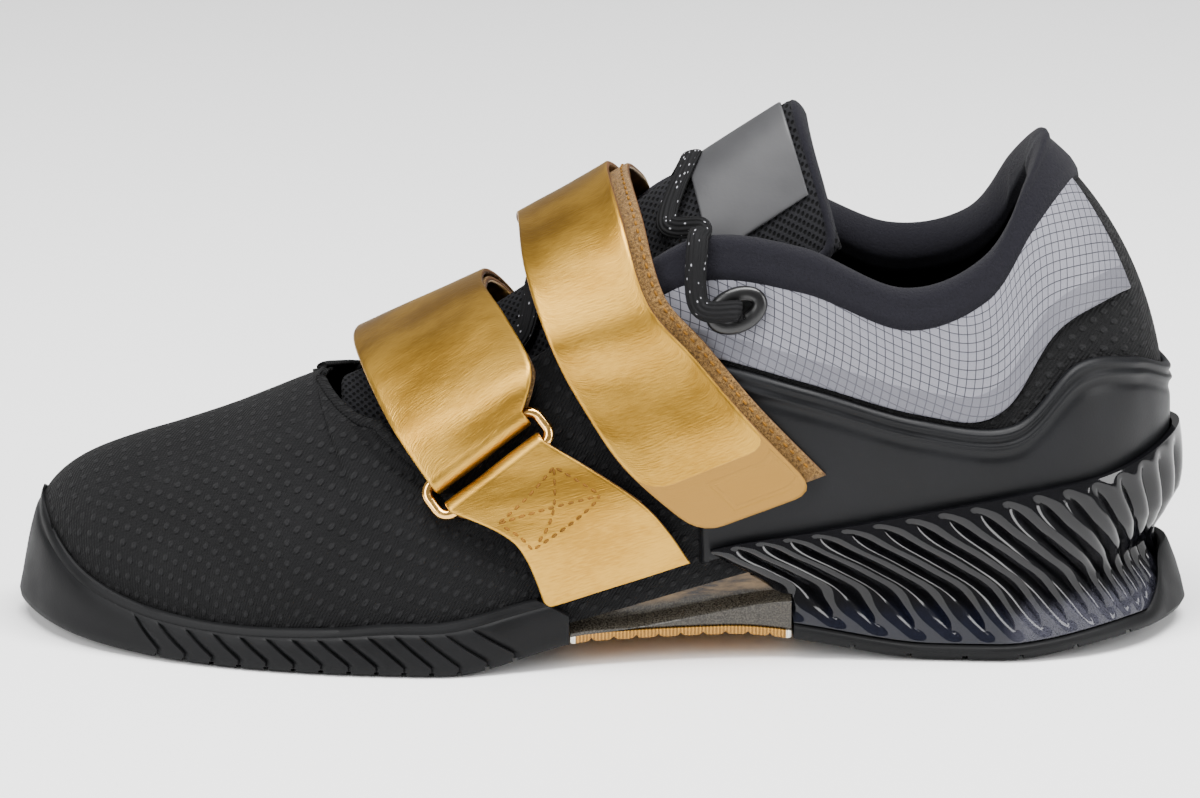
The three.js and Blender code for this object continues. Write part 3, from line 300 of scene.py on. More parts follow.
def grid_faces(rows, cols, start=0, close_rows=False, close_cols=False):
    faces = []
    for i in range(rows - (0 if close_rows else 1)):
        for j in range(cols - (0 if close_cols else 1)):
            a, b = start + i * cols, start + ((i + 1) % rows) * cols
            k = (j + 1) % cols
            faces.append((a + j, b + j, b + k, a + k))
    return faces


def two_faced(name, upper_face, lower_face, replaced=(), uv=None, angle=None):
    """A plate between two grids of points, closed round its border."""
    rows, cols = upper_face.shape[:2]
    n = rows * cols
    faces = grid_faces(rows, cols) + [f[::-1] for f in grid_faces(rows, cols, n)]
    border = [(0, j) for j in range(cols - 1)] + [(i, cols - 1) for i in range(rows - 1)]
    border += [(rows - 1, j) for j in range(cols - 1, 0, -1)] + [(i, 0) for i in range(rows - 1, 0, -1)]
    index = [i * cols + j for i, j in border]
    for a, b in zip(index, index[1:] + index[:1]):
        faces.append((a, b, b + n, a + n))
    points = np.concatenate([upper_face.reshape(-1, 3), lower_face.reshape(-1, 3)])
    flat = None if uv is None else np.concatenate([uv.reshape(-1, 2)] * 2)
    return build(name, points, faces, replaced, flat, angle)


# Knit of the upper: a flat layout of the wall in millimetres, unrolled from the top of the vamp, so
# that dots and rows keep their size over the toe and down both sides.
vamp_middle = along(0.24)
spine_at = along(np.array([0.2, 0.24, 0.3, 0.5, 0.65, 1.0]))
spine_up = [56, 62, 70, 104, 120, 120]
spine_side = 5


def unroll(points):
    x, y, z = points[..., 0], points[..., 1], points[..., 2]
    ahead = np.minimum(x - vamp_middle, 0)
    spine = np.interp(np.maximum(x, vamp_middle), spine_at, spine_up)
    side = y - spine_side
    r = np.hypot(ahead, side) + 1e-6
    h = np.maximum(spine - z, 0)
    half = np.arctan2(h, r)
    arc = np.hypot(r, h) * half / np.maximum(np.sin(half), 1e-6)
    return np.stack([np.maximum(x, vamp_middle) + arc * ahead / r, arc * side / r], -1)


around = 384
ts = np.arange(around) * loop_rows / around
ss = np.concatenate([np.linspace(0, 0.91, 44), np.linspace(0.925, 1, 6)])
grid_t, grid_s = np.meshgrid(ts, ss, indexing="ij")


def seam_height(points):
    """Raised seams and soft creases of the knit, in millimetres off the wall."""
    x, y, z = points[..., 0], points[..., 1], points[..., 2]
    lateral = smooth(4, -8, y)
    path = np.array([[-72, 74], [-68, 66], [-63, 57], [-55, 50], [-44, 45], [-34, 38]], float)
    nearest = np.full(x.shape, 1e9)
    for (ax, az), (bx, bz) in zip(path[:-1], path[1:]):
        q = np.clip(((x - ax) * (bx - ax) + (z - az) * (bz - az)) / ((bx - ax) ** 2 + (bz - az) ** 2), 0, 1)
        nearest = np.minimum(nearest, np.hypot(x - ax - q * (bx - ax), z - az - q * (bz - az)))
    seam = 0.9 * np.exp(-((nearest - 1.4) / 0.8) ** 2) - 0.5 * np.exp(-(nearest / 0.7) ** 2)
    crease = -0.8 * np.exp(-(((x + 0.45 * z + 52) / 5.0) ** 2)) * smooth(20, 34, z) * smooth(60, 48, z)
    return seam + crease * (0.4 + 0.6 * lateral)


outer = offset_point(grid_t, grid_s, 0)
seam_rise = seam_height(outer) * smooth(1.0, 0.9, grid_s)
seam_rise = seam_rise * smooth(-5, -25, outer[..., 0]) * smooth(-92, -78, outer[..., 0])
outer = outer + upper_normal(grid_t, grid_s) * seam_rise[..., None]
inner = offset_point(grid_t, grid_s, -wall_at(grid_t, grid_s))
cols = len(ss)
points = np.concatenate([outer.reshape(-1, 3), inner.reshape(-1, 3)])
faces = grid_faces(around, cols, 0, True) + [f[::-1] for f in grid_faces(around, cols, around * cols, True)]
crest = (outer[:, -1] + inner[:, -1]) / 2
crest[:, 2] += 0.38 * np.linalg.norm(outer[:, -1] - inner[:, -1], axis=-1)
start = len(points)
points = np.concatenate([points, crest])
for i in range(around):
    k = (i + 1) % around
    o, n = around * cols, cols - 1
    faces.append((i * cols, o + i * cols, o + k * cols, k * cols))
    if zipped((ts[i] + (ts[k] if k else loop_rows)) / 2):
        continue
    faces.append((i * cols + n, k * cols + n, start + k, start + i))
    faces.append((start + i, start + k, o + k * cols + n, o + i * cols + n))
upper = build("knit_upper", points, faces, ("upper",), unroll(points))


def material(name, colour, roughness=0.8, **sockets):
    mat = bpy.data.materials.new(name)
    mat.use_nodes = True
    shader = mat.node_tree.nodes["Principled BSDF"]
    shader.inputs["Base Color"].default_value = (*colour, 1)
    shader.inputs["Roughness"].default_value = roughness
    for socket, value in sockets.items():
        shader.inputs[socket.replace("_", " ")].default_value = value
    return mat


def put(obj, *mats):
    obj.data.materials.clear()
    for mat in mats:
        obj.data.materials.append(mat)


def add_node(mat, kind, **values):
    node = mat.node_tree.nodes.new("ShaderNode" + kind)
    for key, value in values.items():
        key = key.replace("_", " ")
        if isinstance(value, bpy.types.NodeSocket):
            (mat.node_tree if hasattr(mat, "node_tree") else mat).links.new(value, node.inputs[key])
        else:
            node.inputs[key].default_value = value
    return node


def in_place(mat):
    """The place in the shoe, in millimetres."""
    return flat_map(mat, source="Object")


def calc(mat, operation, *values):
    """One Math node over sockets and numbers."""
    node = mat.node_tree.nodes.new("ShaderNodeMath")
    node.operation = operation
    for slot, value in zip(node.inputs, values):
        if isinstance(value, bpy.types.NodeSocket):
            mat.node_tree.links.new(value, slot)
        else:
            slot.default_value = value
    return node.outputs[0]


def flat_map(mat, turn=0, scale=(1, 1, 1), source="UV"):
    """A piece's flat layout, or its place in the shoe, turned, stretched and in millimetres."""
    spot = add_node(mat, "TexCoord").outputs[source]
    node = add_node(mat, "Mapping", Vector=spot, Scale=tuple(1000 * v for v in scale))
    node.inputs["Rotation"].default_value = (0, 0, math.radians(turn))
    return node.outputs["Vector"]


def blend(mat, factor, low, high):
    node = mat.node_tree.nodes.new("ShaderNodeMix")
    node.data_type = "RGBA"
    mat.node_tree.links.new(factor, node.inputs["Factor"])
    for slot, value in ((node.inputs[6], low), (node.inputs[7], high)):
        if isinstance(value, bpy.types.NodeSocket):
            mat.node_tree.links.new(value, slot)
        else:
            slot.default_value = (*value, 1)
    return node.outputs[2]


def span(mat, value, low, high, to_low=0.0, to_high=1.0):
    node = add_node(mat, "MapRange", Value=value, From_Min=low, From_Max=high, To_Min=to_low, To_Max=to_high)
    node.interpolation_type = "SMOOTHSTEP"
    return node.outputs[0]


def feed(mat, socket, value):
    mat.node_tree.links.new(value, mat.node_tree.nodes["Principled BSDF"].inputs[socket])


def bump(mat, height, distance, strength=1.0):
    node = add_node(mat, "Bump", Height=height, Distance=distance * MM, Strength=strength)
    feed(mat, "Normal", node.outputs["Normal"])
    return node


# Dots of the knit: raised tucks in staggered rows, small rows of stitches between them, and a fine
# diagonal rib over all. Towards the top of the vamp the dots give way to short dashes.
def staggered_dots(mat, spot, pitch):
    node = add_node(mat, "TexVoronoi", Vector=spot, Scale=1 / pitch, Randomness=0.0)
    node.voronoi_dimensions = "2D"
    return node.outputs["Distance"]


knit = material("black_knit", (0.006, 0.006, 0.0065), 0.85, Specular_IOR_Level=0.12, Sheen_Weight=0.02)
flat45 = flat_map(knit, 45)
flat = flat_map(knit)
dots = span(knit, staggered_dots(knit, flat45, 4.0), 0.3, 0.14)
split = add_node(knit, "SeparateXYZ", Vector=flat)
rib = add_node(knit, "TexWave", Vector=flat_map(knit, 32), Scale=0.32, Distortion=0.6, Detail=1.0,
               Detail_Scale=1.5)
loops = add_node(knit, "TexVoronoi", Vector=flat_map(knit, 20), Scale=1.25, Randomness=0.55)
cloudy = add_node(knit, "TexNoise", Vector=flat, Scale=0.05, Detail=3.0)
top_area = span(knit, calc(knit, "ABSOLUTE", split.outputs["Y"]), 30.0, 14.0)
dashes = calc(knit, "MULTIPLY", span(knit, calc(knit, "PINGPONG", split.outputs["X"], 2.0), 1.1, 1.5),
              span(knit, calc(knit, "PINGPONG", split.outputs["Y"], 2.2), 1.1, 1.7))
tucks = add_node(knit, "Mix", Factor=top_area, A=dots, B=calc(knit, "MULTIPLY", dashes, 0.95)).outputs[0]
height = calc(knit, "ADD", calc(knit, "MULTIPLY", tucks, 0.9),
              calc(knit, "ADD", calc(knit, "MULTIPLY", rib.outputs["Fac"], 0.22),
                   calc(knit, "MULTIPLY", loops.outputs["Distance"], 0.32)))
bump(knit, height, 0.75, 0.9)
# Colour: lighter on the raised tucks and dashes and darker between them, which is painted light on the raised
# stitches, mixed with a random cloudy tone.
tuck_light_and_tone = calc(knit, "ADD", calc(knit, "MULTIPLY", tucks, 0.5),
             calc(knit, "MULTIPLY", cloudy.outputs["Fac"], 0.5))
feed(knit, "Base Color", blend(knit, tuck_light_and_tone, (0.002, 0.002, 0.0022), (0.0105, 0.0105, 0.0112)))
put(upper, knit)

# Collar binding. A brushed knit tape, folded over the padded rim from the outside to the inside.
binding_low = 0.91
binding_thickness = 1.4


def row_at(x):
    low, high = 0.0, float(heel_row)
    for _ in range(40):
        middle = (low + high) / 2
        if outline(np.array(middle))[0] < x:
            low = middle
        else:
            high = middle
    return low


def share_at(t, z):
    t, z = same_shape(t, z)
    low, high = np.zeros(t.shape), np.ones(t.shape)
    for _ in range(32):
        middle = (low + high) / 2
        less = upper_point(t, middle)[..., 2] < z
        low, high = np.where(less, middle, low), np.where(less, high, middle)
    return low


def lengths(grid, axis):
    step = np.linalg.norm(np.diff(grid, axis=axis), axis=-1)
    pad = [(0, 0), (0, 0)]
    pad[axis] = (1, 0)
    return np.cumsum(np.pad(step, pad), axis)


binding_front = row_at(along(0.55))
ts = np.linspace(binding_front, loop_rows - binding_front, 220)
side = np.linspace(0, 1, 9)


def binding_face(distance):
    tt, q = np.meshgrid(ts, side, indexing="ij")
    up_out = offset_point(tt, mix(binding_low - 0.01, 1, q), distance)
    wall = wall_at(ts, np.ones_like(ts))
    a = offset_point(ts, np.ones_like(ts), distance)
    b = offset_point(ts, np.ones_like(ts), -wall - distance)
    centre, radius = (a + b) / 2, (a - b) / 2
    over = []
    for v in np.linspace(0, math.pi, 11)[1:-1]:
        crown = np.stack([0 * wall, 0 * wall, math.sin(v) * (0.42 * wall + 1.1 * distance)], -1)
        over.append(centre + radius * math.cos(v) + crown)
    down = offset_point(tt, mix(1, binding_low - 0.01, q), -wall_at(tt, mix(1, binding_low, q)) - distance)
    return np.concatenate([up_out, np.stack(over, 1), down], 1)


bind_out, bind_in = binding_face(0.6 + binding_thickness), binding_face(0.45)
edge = np.minimum(1, np.minimum(np.arange(27), np.arange(27)[::-1]) / 3) ** 0.5
bind_out = bind_in + (bind_out - bind_in) * edge[None, :, None]
bind_uv = np.stack([lengths(bind_out, 0), lengths(bind_out, 1)], -1)
binding = two_faced("collar_rim", bind_out, bind_in, ("collar_binding",), bind_uv)
brushed = material("brushed_tape", (0.012, 0.0115, 0.018), 0.95, Specular_IOR_Level=0.1, Sheen_Weight=0.05)
nap = add_node(brushed, "TexNoise", Vector=in_place(brushed), Scale=1.6, Detail=4.0, Roughness=0.75)
bump(brushed, nap.outputs["Fac"], 0.6, 0.8)
nap_colours = (0.0035, 0.0033, 0.0052), (0.0125, 0.012, 0.0165)
feed(brushed, "Base Color", blend(brushed, nap.outputs["Fac"], *nap_colours))
put(binding, brushed)

# Counter. A smooth matt film over a stiff heel cup, pressed round the heel, with a doubled cord
# raised under it along its top edge.
counter_thickness = 1.3


def panel(name, ends, low, high, gap, thickness, replaced, columns=200, rows=40, relief=None, rounding=0.7):
    """A sheet on the wall between two heights, its borders rounded down to the wall."""
    ts = np.linspace(*ends, columns)
    v = np.concatenate([[0, 0.004, 0.012], np.linspace(0.025, 0.975, rows), [0.988, 0.996, 1]])
    tt, vv = np.meshgrid(ts, v, indexing="ij")
    s = mix(low(ts)[:, None], high(ts)[:, None], vv)
    base = offset_point(tt, s, gap)
    girth, rise = lengths(base, 0), lengths(base, 1)
    height = rise[:, -1:]
    border = np.minimum(np.minimum(rise, height - rise), np.minimum(girth, girth[-1:] - girth))
    full = np.sqrt(1 - (1 - np.clip(border / rounding, 0, 1)) ** 2)
    thick = thickness * full
    if relief:
        thick = thick + relief(girth, rise, height) * full
    out = base + upper_normal(tt, s) * thick[..., None]
    return two_faced(name, out, base, replaced, np.stack([girth, rise], -1))


counter_up = columns[6]
sole_up = columns[5]


def counter_edge(t):
    return through(counter_up, t) * collar_height


def sole_top(t):
    return through(sole_up, t) * collar_height


def piping(girth, rise, height):
    down = height - rise
    cords = sum(0.75 * np.exp(-((down - at) / 0.75) ** 2) for at in (1.6, 4.4))
    return cords - 0.35 * np.exp(-((down - 7.0) / 1.2) ** 2)


counter_front = row_at(along(0.58))
counter = panel("counter_wrap", (counter_front, loop_rows - counter_front),
                lambda t: share_at(t, sole_top(t) - 4), lambda t: share_at(t, counter_edge(t)),
                seat_gap, counter_thickness, ("heel_counter",), 260, 60, piping)


def grain_group():
    """Fine pebble of films and rubber: a height and a patchy mask."""
    tree = bpy.data.node_groups.new("fine_grain", "ShaderNodeTree")
    tree.interface.new_socket("Vector", in_out="INPUT", socket_type="NodeSocketVector")
    tree.interface.new_socket("Size", in_out="INPUT", socket_type="NodeSocketFloat")
    tree.interface.new_socket("Height", in_out="OUTPUT", socket_type="NodeSocketFloat")
    tree.interface.new_socket("Patch", in_out="OUTPUT", socket_type="NodeSocketFloat")
    ends = tree.nodes.new("NodeGroupInput"), tree.nodes.new("NodeGroupOutput")
    fine, wide = tree.nodes.new("ShaderNodeTexNoise"), tree.nodes.new("ShaderNodeTexNoise")
    wide.inputs["Scale"].default_value = 0.06
    wide.inputs["Detail"].default_value = 4
    fine.inputs["Detail"].default_value = 3
    for node in (fine, wide):
        tree.links.new(ends[0].outputs["Vector"], node.inputs["Vector"])
    tree.links.new(ends[0].outputs["Size"], fine.inputs["Scale"])
    tree.links.new(fine.outputs["Fac"], ends[1].inputs["Height"])
    tree.links.new(wide.outputs["Fac"], ends[1].inputs["Patch"])
    return tree


fine_grain = grain_group()


def grained(name, colour, roughness, size, depth, spread=0.25, **sockets):
    """A moulded or coated surface: fine pebble, and patches a little lighter and duller."""
    mat = material(name, colour, roughness, **sockets)
    group = mat.node_tree.nodes.new("ShaderNodeGroup")
    group.node_tree = fine_grain
    mat.node_tree.links.new(in_place(mat), group.inputs["Vector"])
    group.inputs["Size"].default_value = size
    bump(mat, group.outputs["Height"], depth, 0.6)
    patch = span(mat, group.outputs["Patch"], 0.3, 0.7)
    feed(mat, "Roughness", span(mat, group.outputs["Patch"], 0.3, 0.7, roughness - 0.07, roughness + 0.08))
    dark, light = (tuple(c * k for c in colour) for k in (1 - spread, 1 + spread))
    feed(mat, "Base Color", blend(mat, patch, dark, light))
    return mat


film = grained("counter_film", (0.0048, 0.005, 0.0058), 0.45, 1.8, 0.05, Specular_IOR_Level=0.16)
put(counter, film)

# Quarters. Thin pale ripstop film on both sides of the heel, welded to the knit, with a darker film
# strip along its lower edge.
quarter_front = row_at(along(0.55))
quarter_rear = row_at(along(0.985))


def quarter_low(t):
    m = np.minimum(t, loop_rows - t)
    over_counter = share_at(t, counter_edge(t) + 1.2)
    return mix(over_counter, share_at(t, 0.7 * collar_height + 0 * t), smooth(12.4, 15.2, m))


ripstop = material("ripstop", (0.26, 0.26, 0.3), 0.5, Specular_IOR_Level=0.3)
flat = flat_map(ripstop, 12)
split = add_node(ripstop, "SeparateXYZ", Vector=flat)
lines = [span(ripstop, calc(ripstop, "PINGPONG", split.outputs[axis], 1.1), 0.16, 0.06)
         for axis in ("X", "Y")]
grid = calc(ripstop, "MAXIMUM", *lines)
rise = add_node(ripstop, "SeparateXYZ", Vector=flat_map(ripstop)).outputs["Y"]
film_strip = span(ripstop, rise, 6.7, 6.4)
weave = add_node(ripstop, "TexNoise", Vector=flat, Scale=2.2, Detail=2.0)
cell = blend(ripstop, weave.outputs["Fac"], (0.14, 0.14, 0.163), (0.19, 0.19, 0.216))
lined = blend(ripstop, grid, cell, (0.018, 0.018, 0.026))
film_share = calc(ripstop, "MULTIPLY", film_strip, 0.6)
feed(ripstop, "Base Color", blend(ripstop, film_share, lined, (0.075, 0.075, 0.09)))
bump(ripstop, calc(ripstop, "ADD", grid, calc(ripstop, "MULTIPLY", weave.outputs["Fac"], 0.5)), 0.12, 0.7)
quarter_thickness = 0.8
quarter_ends = {
    "lateral": (quarter_front, quarter_rear),
    "medial": (loop_rows - quarter_rear, loop_rows - quarter_front),
}
for side_name, ends in quarter_ends.items():
    quarter = panel(f"ripstop_{side_name}", ends, quarter_low,
                    lambda t: np.full(t.shape, binding_low + 0.005), seat_gap, quarter_thickness,
                    (f"quarter_{side_name}",), 160, 40, rounding=0.5)
    put(quarter, ripstop)

# Tongue. Air mesh quilted over foam, sewn in under the front of the throat.
tongue_rows = np.array([
    # at, side, up, half_width, drop
    [0.28, 0.1, 0.46, 0.36, 0.11],
    [0.34, 0.09, 0.52, 0.46, 0.19],
    [0.4, 0.07, 0.595, 0.5, 0.23],
    [0.46, 0.05, 0.69, 0.52, 0.25],
    [0.52, 0.02, 0.805, 0.5, 0.26],
    [0.59, 0, 0.925, 0.44, 0.26],
    [0.668, 0, 1.045, 0.36, 0.25],
])
tongue_thickness = 5
tongue_sweep = 9


def tongue_point(u, w):
    u, w = same_shape(u, w)
    row = u * (len(tongue_rows) - 1)
    at, side, up, half, drop = (through(tongue_rows[:, k], row, False) for k in range(5))
    return np.stack([along(at) + tongue_sweep * w * w * u, (side + w * half) * half_ball,
                     (up - drop * np.abs(w) ** 1.8) * collar_height], -1)


def sheet_normal(point, u, w, step=0.01):
    by_u = point(u + step, w) - point(u - step, w)
    by_w = point(u, w + step) - point(u, w - step)
    return unit(np.cross(by_u, by_w))


def pad_sheet(name, point, rows, across, thickness, lift_off=0.0, replaced=(), rounding=None, relief=None):
    """A padded sheet along a surface, both faces swelling from rounded borders."""
    uu, ww = np.meshgrid(rows, across, indexing="ij")
    base, normal = point(uu, ww), sheet_normal(point, uu, ww)
    normal = normal * np.where(normal[..., 2:] < 0, -1, 1)
    du, dw = lengths(base, 0), lengths(base, 1)
    border = np.minimum(np.minimum(du, du[-1:] - du), np.minimum(dw, dw[:, -1:] - dw))
    full = np.sqrt(1 - (1 - np.clip(border / (rounding or thickness / 2), 0, 1)) ** 2)
    half = thickness / 2 * full
    top = half + (relief(uu, ww) * full if relief else 0)
    out = base + normal * (lift_off + top)[..., None]
    under = base + normal * (lift_off - half)[..., None]
    return two_faced(name, out, under, replaced, np.stack([du, dw], -1))


def near_borders(n, fine=0.012, low=0.0, high=1.0):
    inner = np.linspace(fine * 3, 1 - fine * 3, n)
    ends = np.array([0, 0.15, 0.45, 1.0, 1.8]) * fine
    return low + (high - low) * np.concatenate([ends, inner, (1 - ends)[::-1]])


tongue = pad_sheet("mesh_tongue", tongue_point, near_borders(90, 0.008), near_borders(50, 0.02) * 2 - 1,
                   tongue_thickness + 1.2, 0, ("tongue",), 2.6, lambda u, w: 0.35 * np.cos(w * 3 * math.pi))
air_mesh = material("air_mesh", (0.005, 0.005, 0.0055), 0.9, Specular_IOR_Level=0.1, Sheen_Weight=0.02)
holes = staggered_dots(air_mesh, flat_map(air_mesh, 45), 1.5)
between_holes = span(air_mesh, holes, 0.2, 0.42)
bump(air_mesh, between_holes, 0.6, 0.9)
# Colour: darker in the holes, which is painted shade in them over the black layer beneath, and lighter on the
# yarn between.
feed(air_mesh, "Base Color", blend(air_mesh, between_holes,
                                   (0.0012, 0.0012, 0.0014), (0.0105, 0.0105, 0.012)))
put(tongue, air_mesh)

# Tongue label. A blank patch of grey film, welded to the mesh near the tongue's top, on the side
# that the photo shows.
label = pad_sheet("film_label", tongue_point, near_borders(24, 0.01, 0.81, 0.965),
                  near_borders(24, 0.01, -0.72, 0.42), 0.9, tongue_thickness / 2 + 1.5,
                  ("tongue_label",), 0.6)
label_film = grained("label_film", (0.04, 0.04, 0.042), 0.45, 0.9, 0.05, 0.1, Specular_IOR_Level=0.3)
put(label, label_film)

# Insole. Die-cut foam with a knit cover, loose on the footbed. Its loop of rows starts at the toe tip,
# so the loop's two halves are the two sides of the foot.
loop = np.arange(0, loop_rows, 0.1)


def round_levels(rise, inset):
    foot = upper_point(loop, 0.0 * loop)
    s = share_at(loop, foot[:, 2] + rise)
    place = offset_point(loop, s, -upper_wall - 1.5 - inset)
    place[:, 2] = foot[:, 2] + rise
    return place


def level_solid(name, levels, replaced=(), angle=None):
    """A closed solid from levels of points, bottom to top, each a loop whose two halves are joined."""
    levels = np.asarray(levels)
    k, n = levels.shape[:2]
    faces = grid_faces(k, n, 0, False, True)
    for level, flip in ((0, True), (k - 1, False)):
        i = 0
        while i + 1 <= n - 2 - i:
            rung = [level * n + j for j in dict.fromkeys((i, i + 1, n - 2 - i, n - 1 - i))]
            if len(rung) > 2:
                faces.append(rung[::-1] if flip else rung)
            i += 1
    faces = [f[::-1] if j < (k - 1) * n else f for j, f in enumerate(faces)]
    return build(name, levels, faces, replaced, None, angle)


insole_edge = ((0, 0.6), (0.5, 0), (3.2, 0), (3.8, 0.4), (4, 1.2))
insole_levels = [round_levels(rise, inset) for rise, inset in insole_edge]
insole = level_solid("foam_insole", insole_levels, ("insole",))
cover = grained("insole_cover", (0.007, 0.007, 0.0085), 0.92, 1.6, 0.25, 0.3, Specular_IOR_Level=0.1)
put(insole, cover)


# Forefoot rubber. A moulded cup of matt rubber, with slanting sipes along its sides and flex grooves
# across its tread.
def edge_point(t, inset, level):
    x, y = outline(t)
    ox, oy = outward(t)
    px = x - ox * inset
    return np.stack([px, y - oy * inset, level(px) if callable(level) else level + 0 * px], -1)


def out_of(t):
    ox, oy = outward(t)
    return np.stack([ox, oy, 0 * ox], -1)


def wall_room(name, ts, distance):
    levels = [offset_point(ts, s + 0 * ts, distance) for s in np.linspace(0, 0.607, 14)]
    below = levels[0].copy()
    below[:, 2] = footbed(below[:, 0]) - 2 * seat_gap
    levels[0][:, 2] += seat_gap
    return level_solid(name, [below] + levels, None)


def boolean(obj, other, operation="DIFFERENCE"):
    """Cuts or joins with another solid, which is used up."""
    cut = obj.modifiers.new("cut", "BOOLEAN")
    cut.operation, cut.object, cut.solver = operation, other, "MANIFOLD"
    bpy.ops.object.select_all(action="DESELECT")
    obj.select_set(True)
    bpy.context.view_layer.objects.active = obj
    bpy.ops.object.modifier_apply(modifier="cut")
    bpy.data.objects.remove(other)


def slab(name, low, high):
    """A plain cutting block between two corners, in millimetres."""
    corners = [[x, y, z] for x in (low[0], high[0]) for y in (low[1], high[1]) for z in (low[2], high[2])]
    faces = [(0, 1, 3, 2), (4, 6, 7, 5), (0, 4, 5, 1), (2, 3, 7, 6), (0, 2, 6, 4), (1, 5, 7, 3)]
    return build(name, corners, faces, None)


def sharpen(obj, angle=32):
    bpy.ops.object.select_all(action="DESELECT")
    obj.select_set(True)
    bpy.context.view_layer.objects.active = obj
    bpy.ops.object.shade_smooth_by_angle(angle=math.radians(angle))


waist_front, waist_rear, wing_front = -9, 47, 26
side_rubber, sipes, sipe_depth = 2, 13, 1.1
sipe_xs = np.linspace(along(0.127), along(0.425), sipes + 1)
row_table = np.linspace(0, heel_row, 4000)
x_table = np.maximum.accumulate(outline(row_table)[0])


def rows_of(x):
    return np.interp(x, x_table, row_table)


toe_xs = outline(np.linspace(0, 4, 60))[0]
side_xs = np.arange(outline(np.array(4.0))[0] + 1.1, waist_front + 7, 1.1)
base_xs = np.concatenate([toe_xs, side_xs])
cut_xs = (sipe_xs[:, None] + np.array([-0.12, 0.12, 0.7, 1.5, 2.5])).ravel()
xs = np.unique(np.concatenate([base_xs[np.min(np.abs(base_xs[:, None] - cut_xs), 1) > 0.35], cut_xs]))
hands = np.concatenate([-np.ones(len(xs) - 1), np.ones(len(xs))])
xs = np.concatenate([xs[1:][::-1], xs])


def rubber_rim(t, up, share):
    """The rubber's top edge on the wall, thinner towards the toe tip."""
    s = share_at(t, sole_top(t) + up)
    thick = side_rubber * share * mix(0.4, 1, smooth(along(0), along(0.07), outline(t)[0]))
    return upper_point(t, s) + upper_normal(t, s) * (seat_gap + thick)[:, None]


def rubber_level(v):
    """One level up the side wall, its columns leaning with the sipes."""
    lean = smooth(along(0.09), along(0.14), xs)
    t0 = hands * rows_of(xs)
    rise = edge_point(t0, 0, underside)[:, 2]
    high = offset_point(t0, share_at(t0, sole_top(t0)), seat_gap + side_rubber)[:, 2]
    t = hands * rows_of(xs - lean * v * (high - rise) / 1.1)
    low = edge_point(t, 0, lambda x: underside(x) + 2.5)
    top = rubber_rim(t, 0, 1)
    after = np.min(np.where(xs[:, None] > sipe_xs, xs[:, None] - sipe_xs, 99), 1)
    cut = np.where(after < 2.6, sipe_depth * (1 - after / 2.6) ** 1.5, 0) * lean * smooth(0.86, 0.72, v)
    groove = 0.35 * math.exp(-((v - 0.87) / 0.035) ** 2)
    swell = 0.8 * math.sin(math.pi * v ** 1.45)
    return mix(low, top, v) + out_of(t) * (swell - cut - groove)[:, None]


t0 = hands * rows_of(xs)
levels = [edge_point(t0, inset, lambda x: underside(x) + up)
          for inset, up in ((1.8, 0), (0.9, 0.25), (0.25, 1.0))]
level_shares = (0, 0.12, 0.24, 0.36, 0.48, 0.6, 0.7, 0.76, 0.81, 0.84, 0.87, 0.9, 0.94, 0.98)
levels += [rubber_level(v) for v in level_shares]
lip = rubber_level(1.0)
t_lip = hands * rows_of(lip[:, 0])
levels += [rubber_rim(t_lip, up, share) for up, share in ((0.5, 0.85), (0.85, 0.5))]
forefoot = level_solid("forefoot_rubber", levels, ("outsole_forefoot",))
room_rows = np.linspace(-row_at(waist_front + 18), row_at(waist_front + 18), 260)
boolean(forefoot, wall_room("room", room_rows, seat_gap))
boolean(forefoot, slab("behind", (waist_front, -80, -20), (waist_front + 60, 80, 90)))
for x in sipe_xs:
    level = float(underside(x))
    boolean(forefoot, slab("groove", (x - 0.5, -70, level - 3), (x + 0.7, 70, level + 1.3)))
sharpen(forefoot)
rubber = grained("sole_rubber", (0.0045, 0.0046, 0.005), 0.55, 1.5, 0.06, 0.22, Specular_IOR_Level=0.12)
put(forefoot, rubber)

# Waist. A gold rubber strip with ribs and rounded lugs, under a smoky plate that stands back above
# its flange.
strip_rows = np.linspace(row_at(waist_front), row_at(waist_rear), 190)
waist_loop = np.concatenate([strip_rows, (loop_rows - strip_rows)[::-1]])


def strip_top(x):
    return underside(x) + 2.2


def waist_level(inset, level, gap=seat_gap):
    place = edge_point(waist_loop, inset, level)
    place[:, 0] = np.clip(place[:, 0], waist_front + gap, waist_rear - gap)
    return place


def lug(x):
    return 0.9 * (1 - np.abs(np.sin(math.pi * (x - waist_front) / 5.6))) ** 3


strip = level_solid("gold_strip", [
    waist_level(1.3, lambda x: underside(x) + lug(x)),
    waist_level(0.8, lambda x: underside(x) + 0.4 + lug(x)),
    waist_level(0.55, lambda x: strip_top(x) - 0.4),
    waist_level(0.8, strip_top),
], ("outsole_waist",), 40)
gold_rubber = material("gold_rubber", (0.42, 0.22, 0.045), 0.6, Specular_IOR_Level=0.3)
split = add_node(gold_rubber, "SeparateXYZ", Vector=in_place(gold_rubber))
ribs = calc(gold_rubber, "PINGPONG", split.outputs["X"], 0.45)
bump(gold_rubber, span(gold_rubber, ribs, 0.1, 0.35), 0.25, 0.8)
strip_middle = float((waist_front + waist_rear) / 2 + shift[0])
off_middle = calc(gold_rubber, "ABSOLUTE", calc(gold_rubber, "SUBTRACT", split.outputs["X"], strip_middle))
# Colour: darker in the grooves between the ribs, which is painted shade in them, and the gold's own colour on
# the crests.
gold_with_groove_shade = blend(gold_rubber, span(gold_rubber, ribs, 0.05, 0.4), (0.16, 0.075, 0.01), (0.42, 0.2, 0.028))
pale_ends = span(gold_rubber, off_middle, 26.2, 26.6)
feed(gold_rubber, "Base Color", blend(gold_rubber, pale_ends, gold_with_groove_shade, (0.7, 0.68, 0.6)))
put(strip, gold_rubber)

plate_side = 5


def plate_top(x):
    return footbed(x) - seat_gap


def flange_top(x):
    return mix(strip_top(x) + seat_gap, plate_top(x), mix(0.16, 0.5, smooth(waist_front, waist_rear, x)))


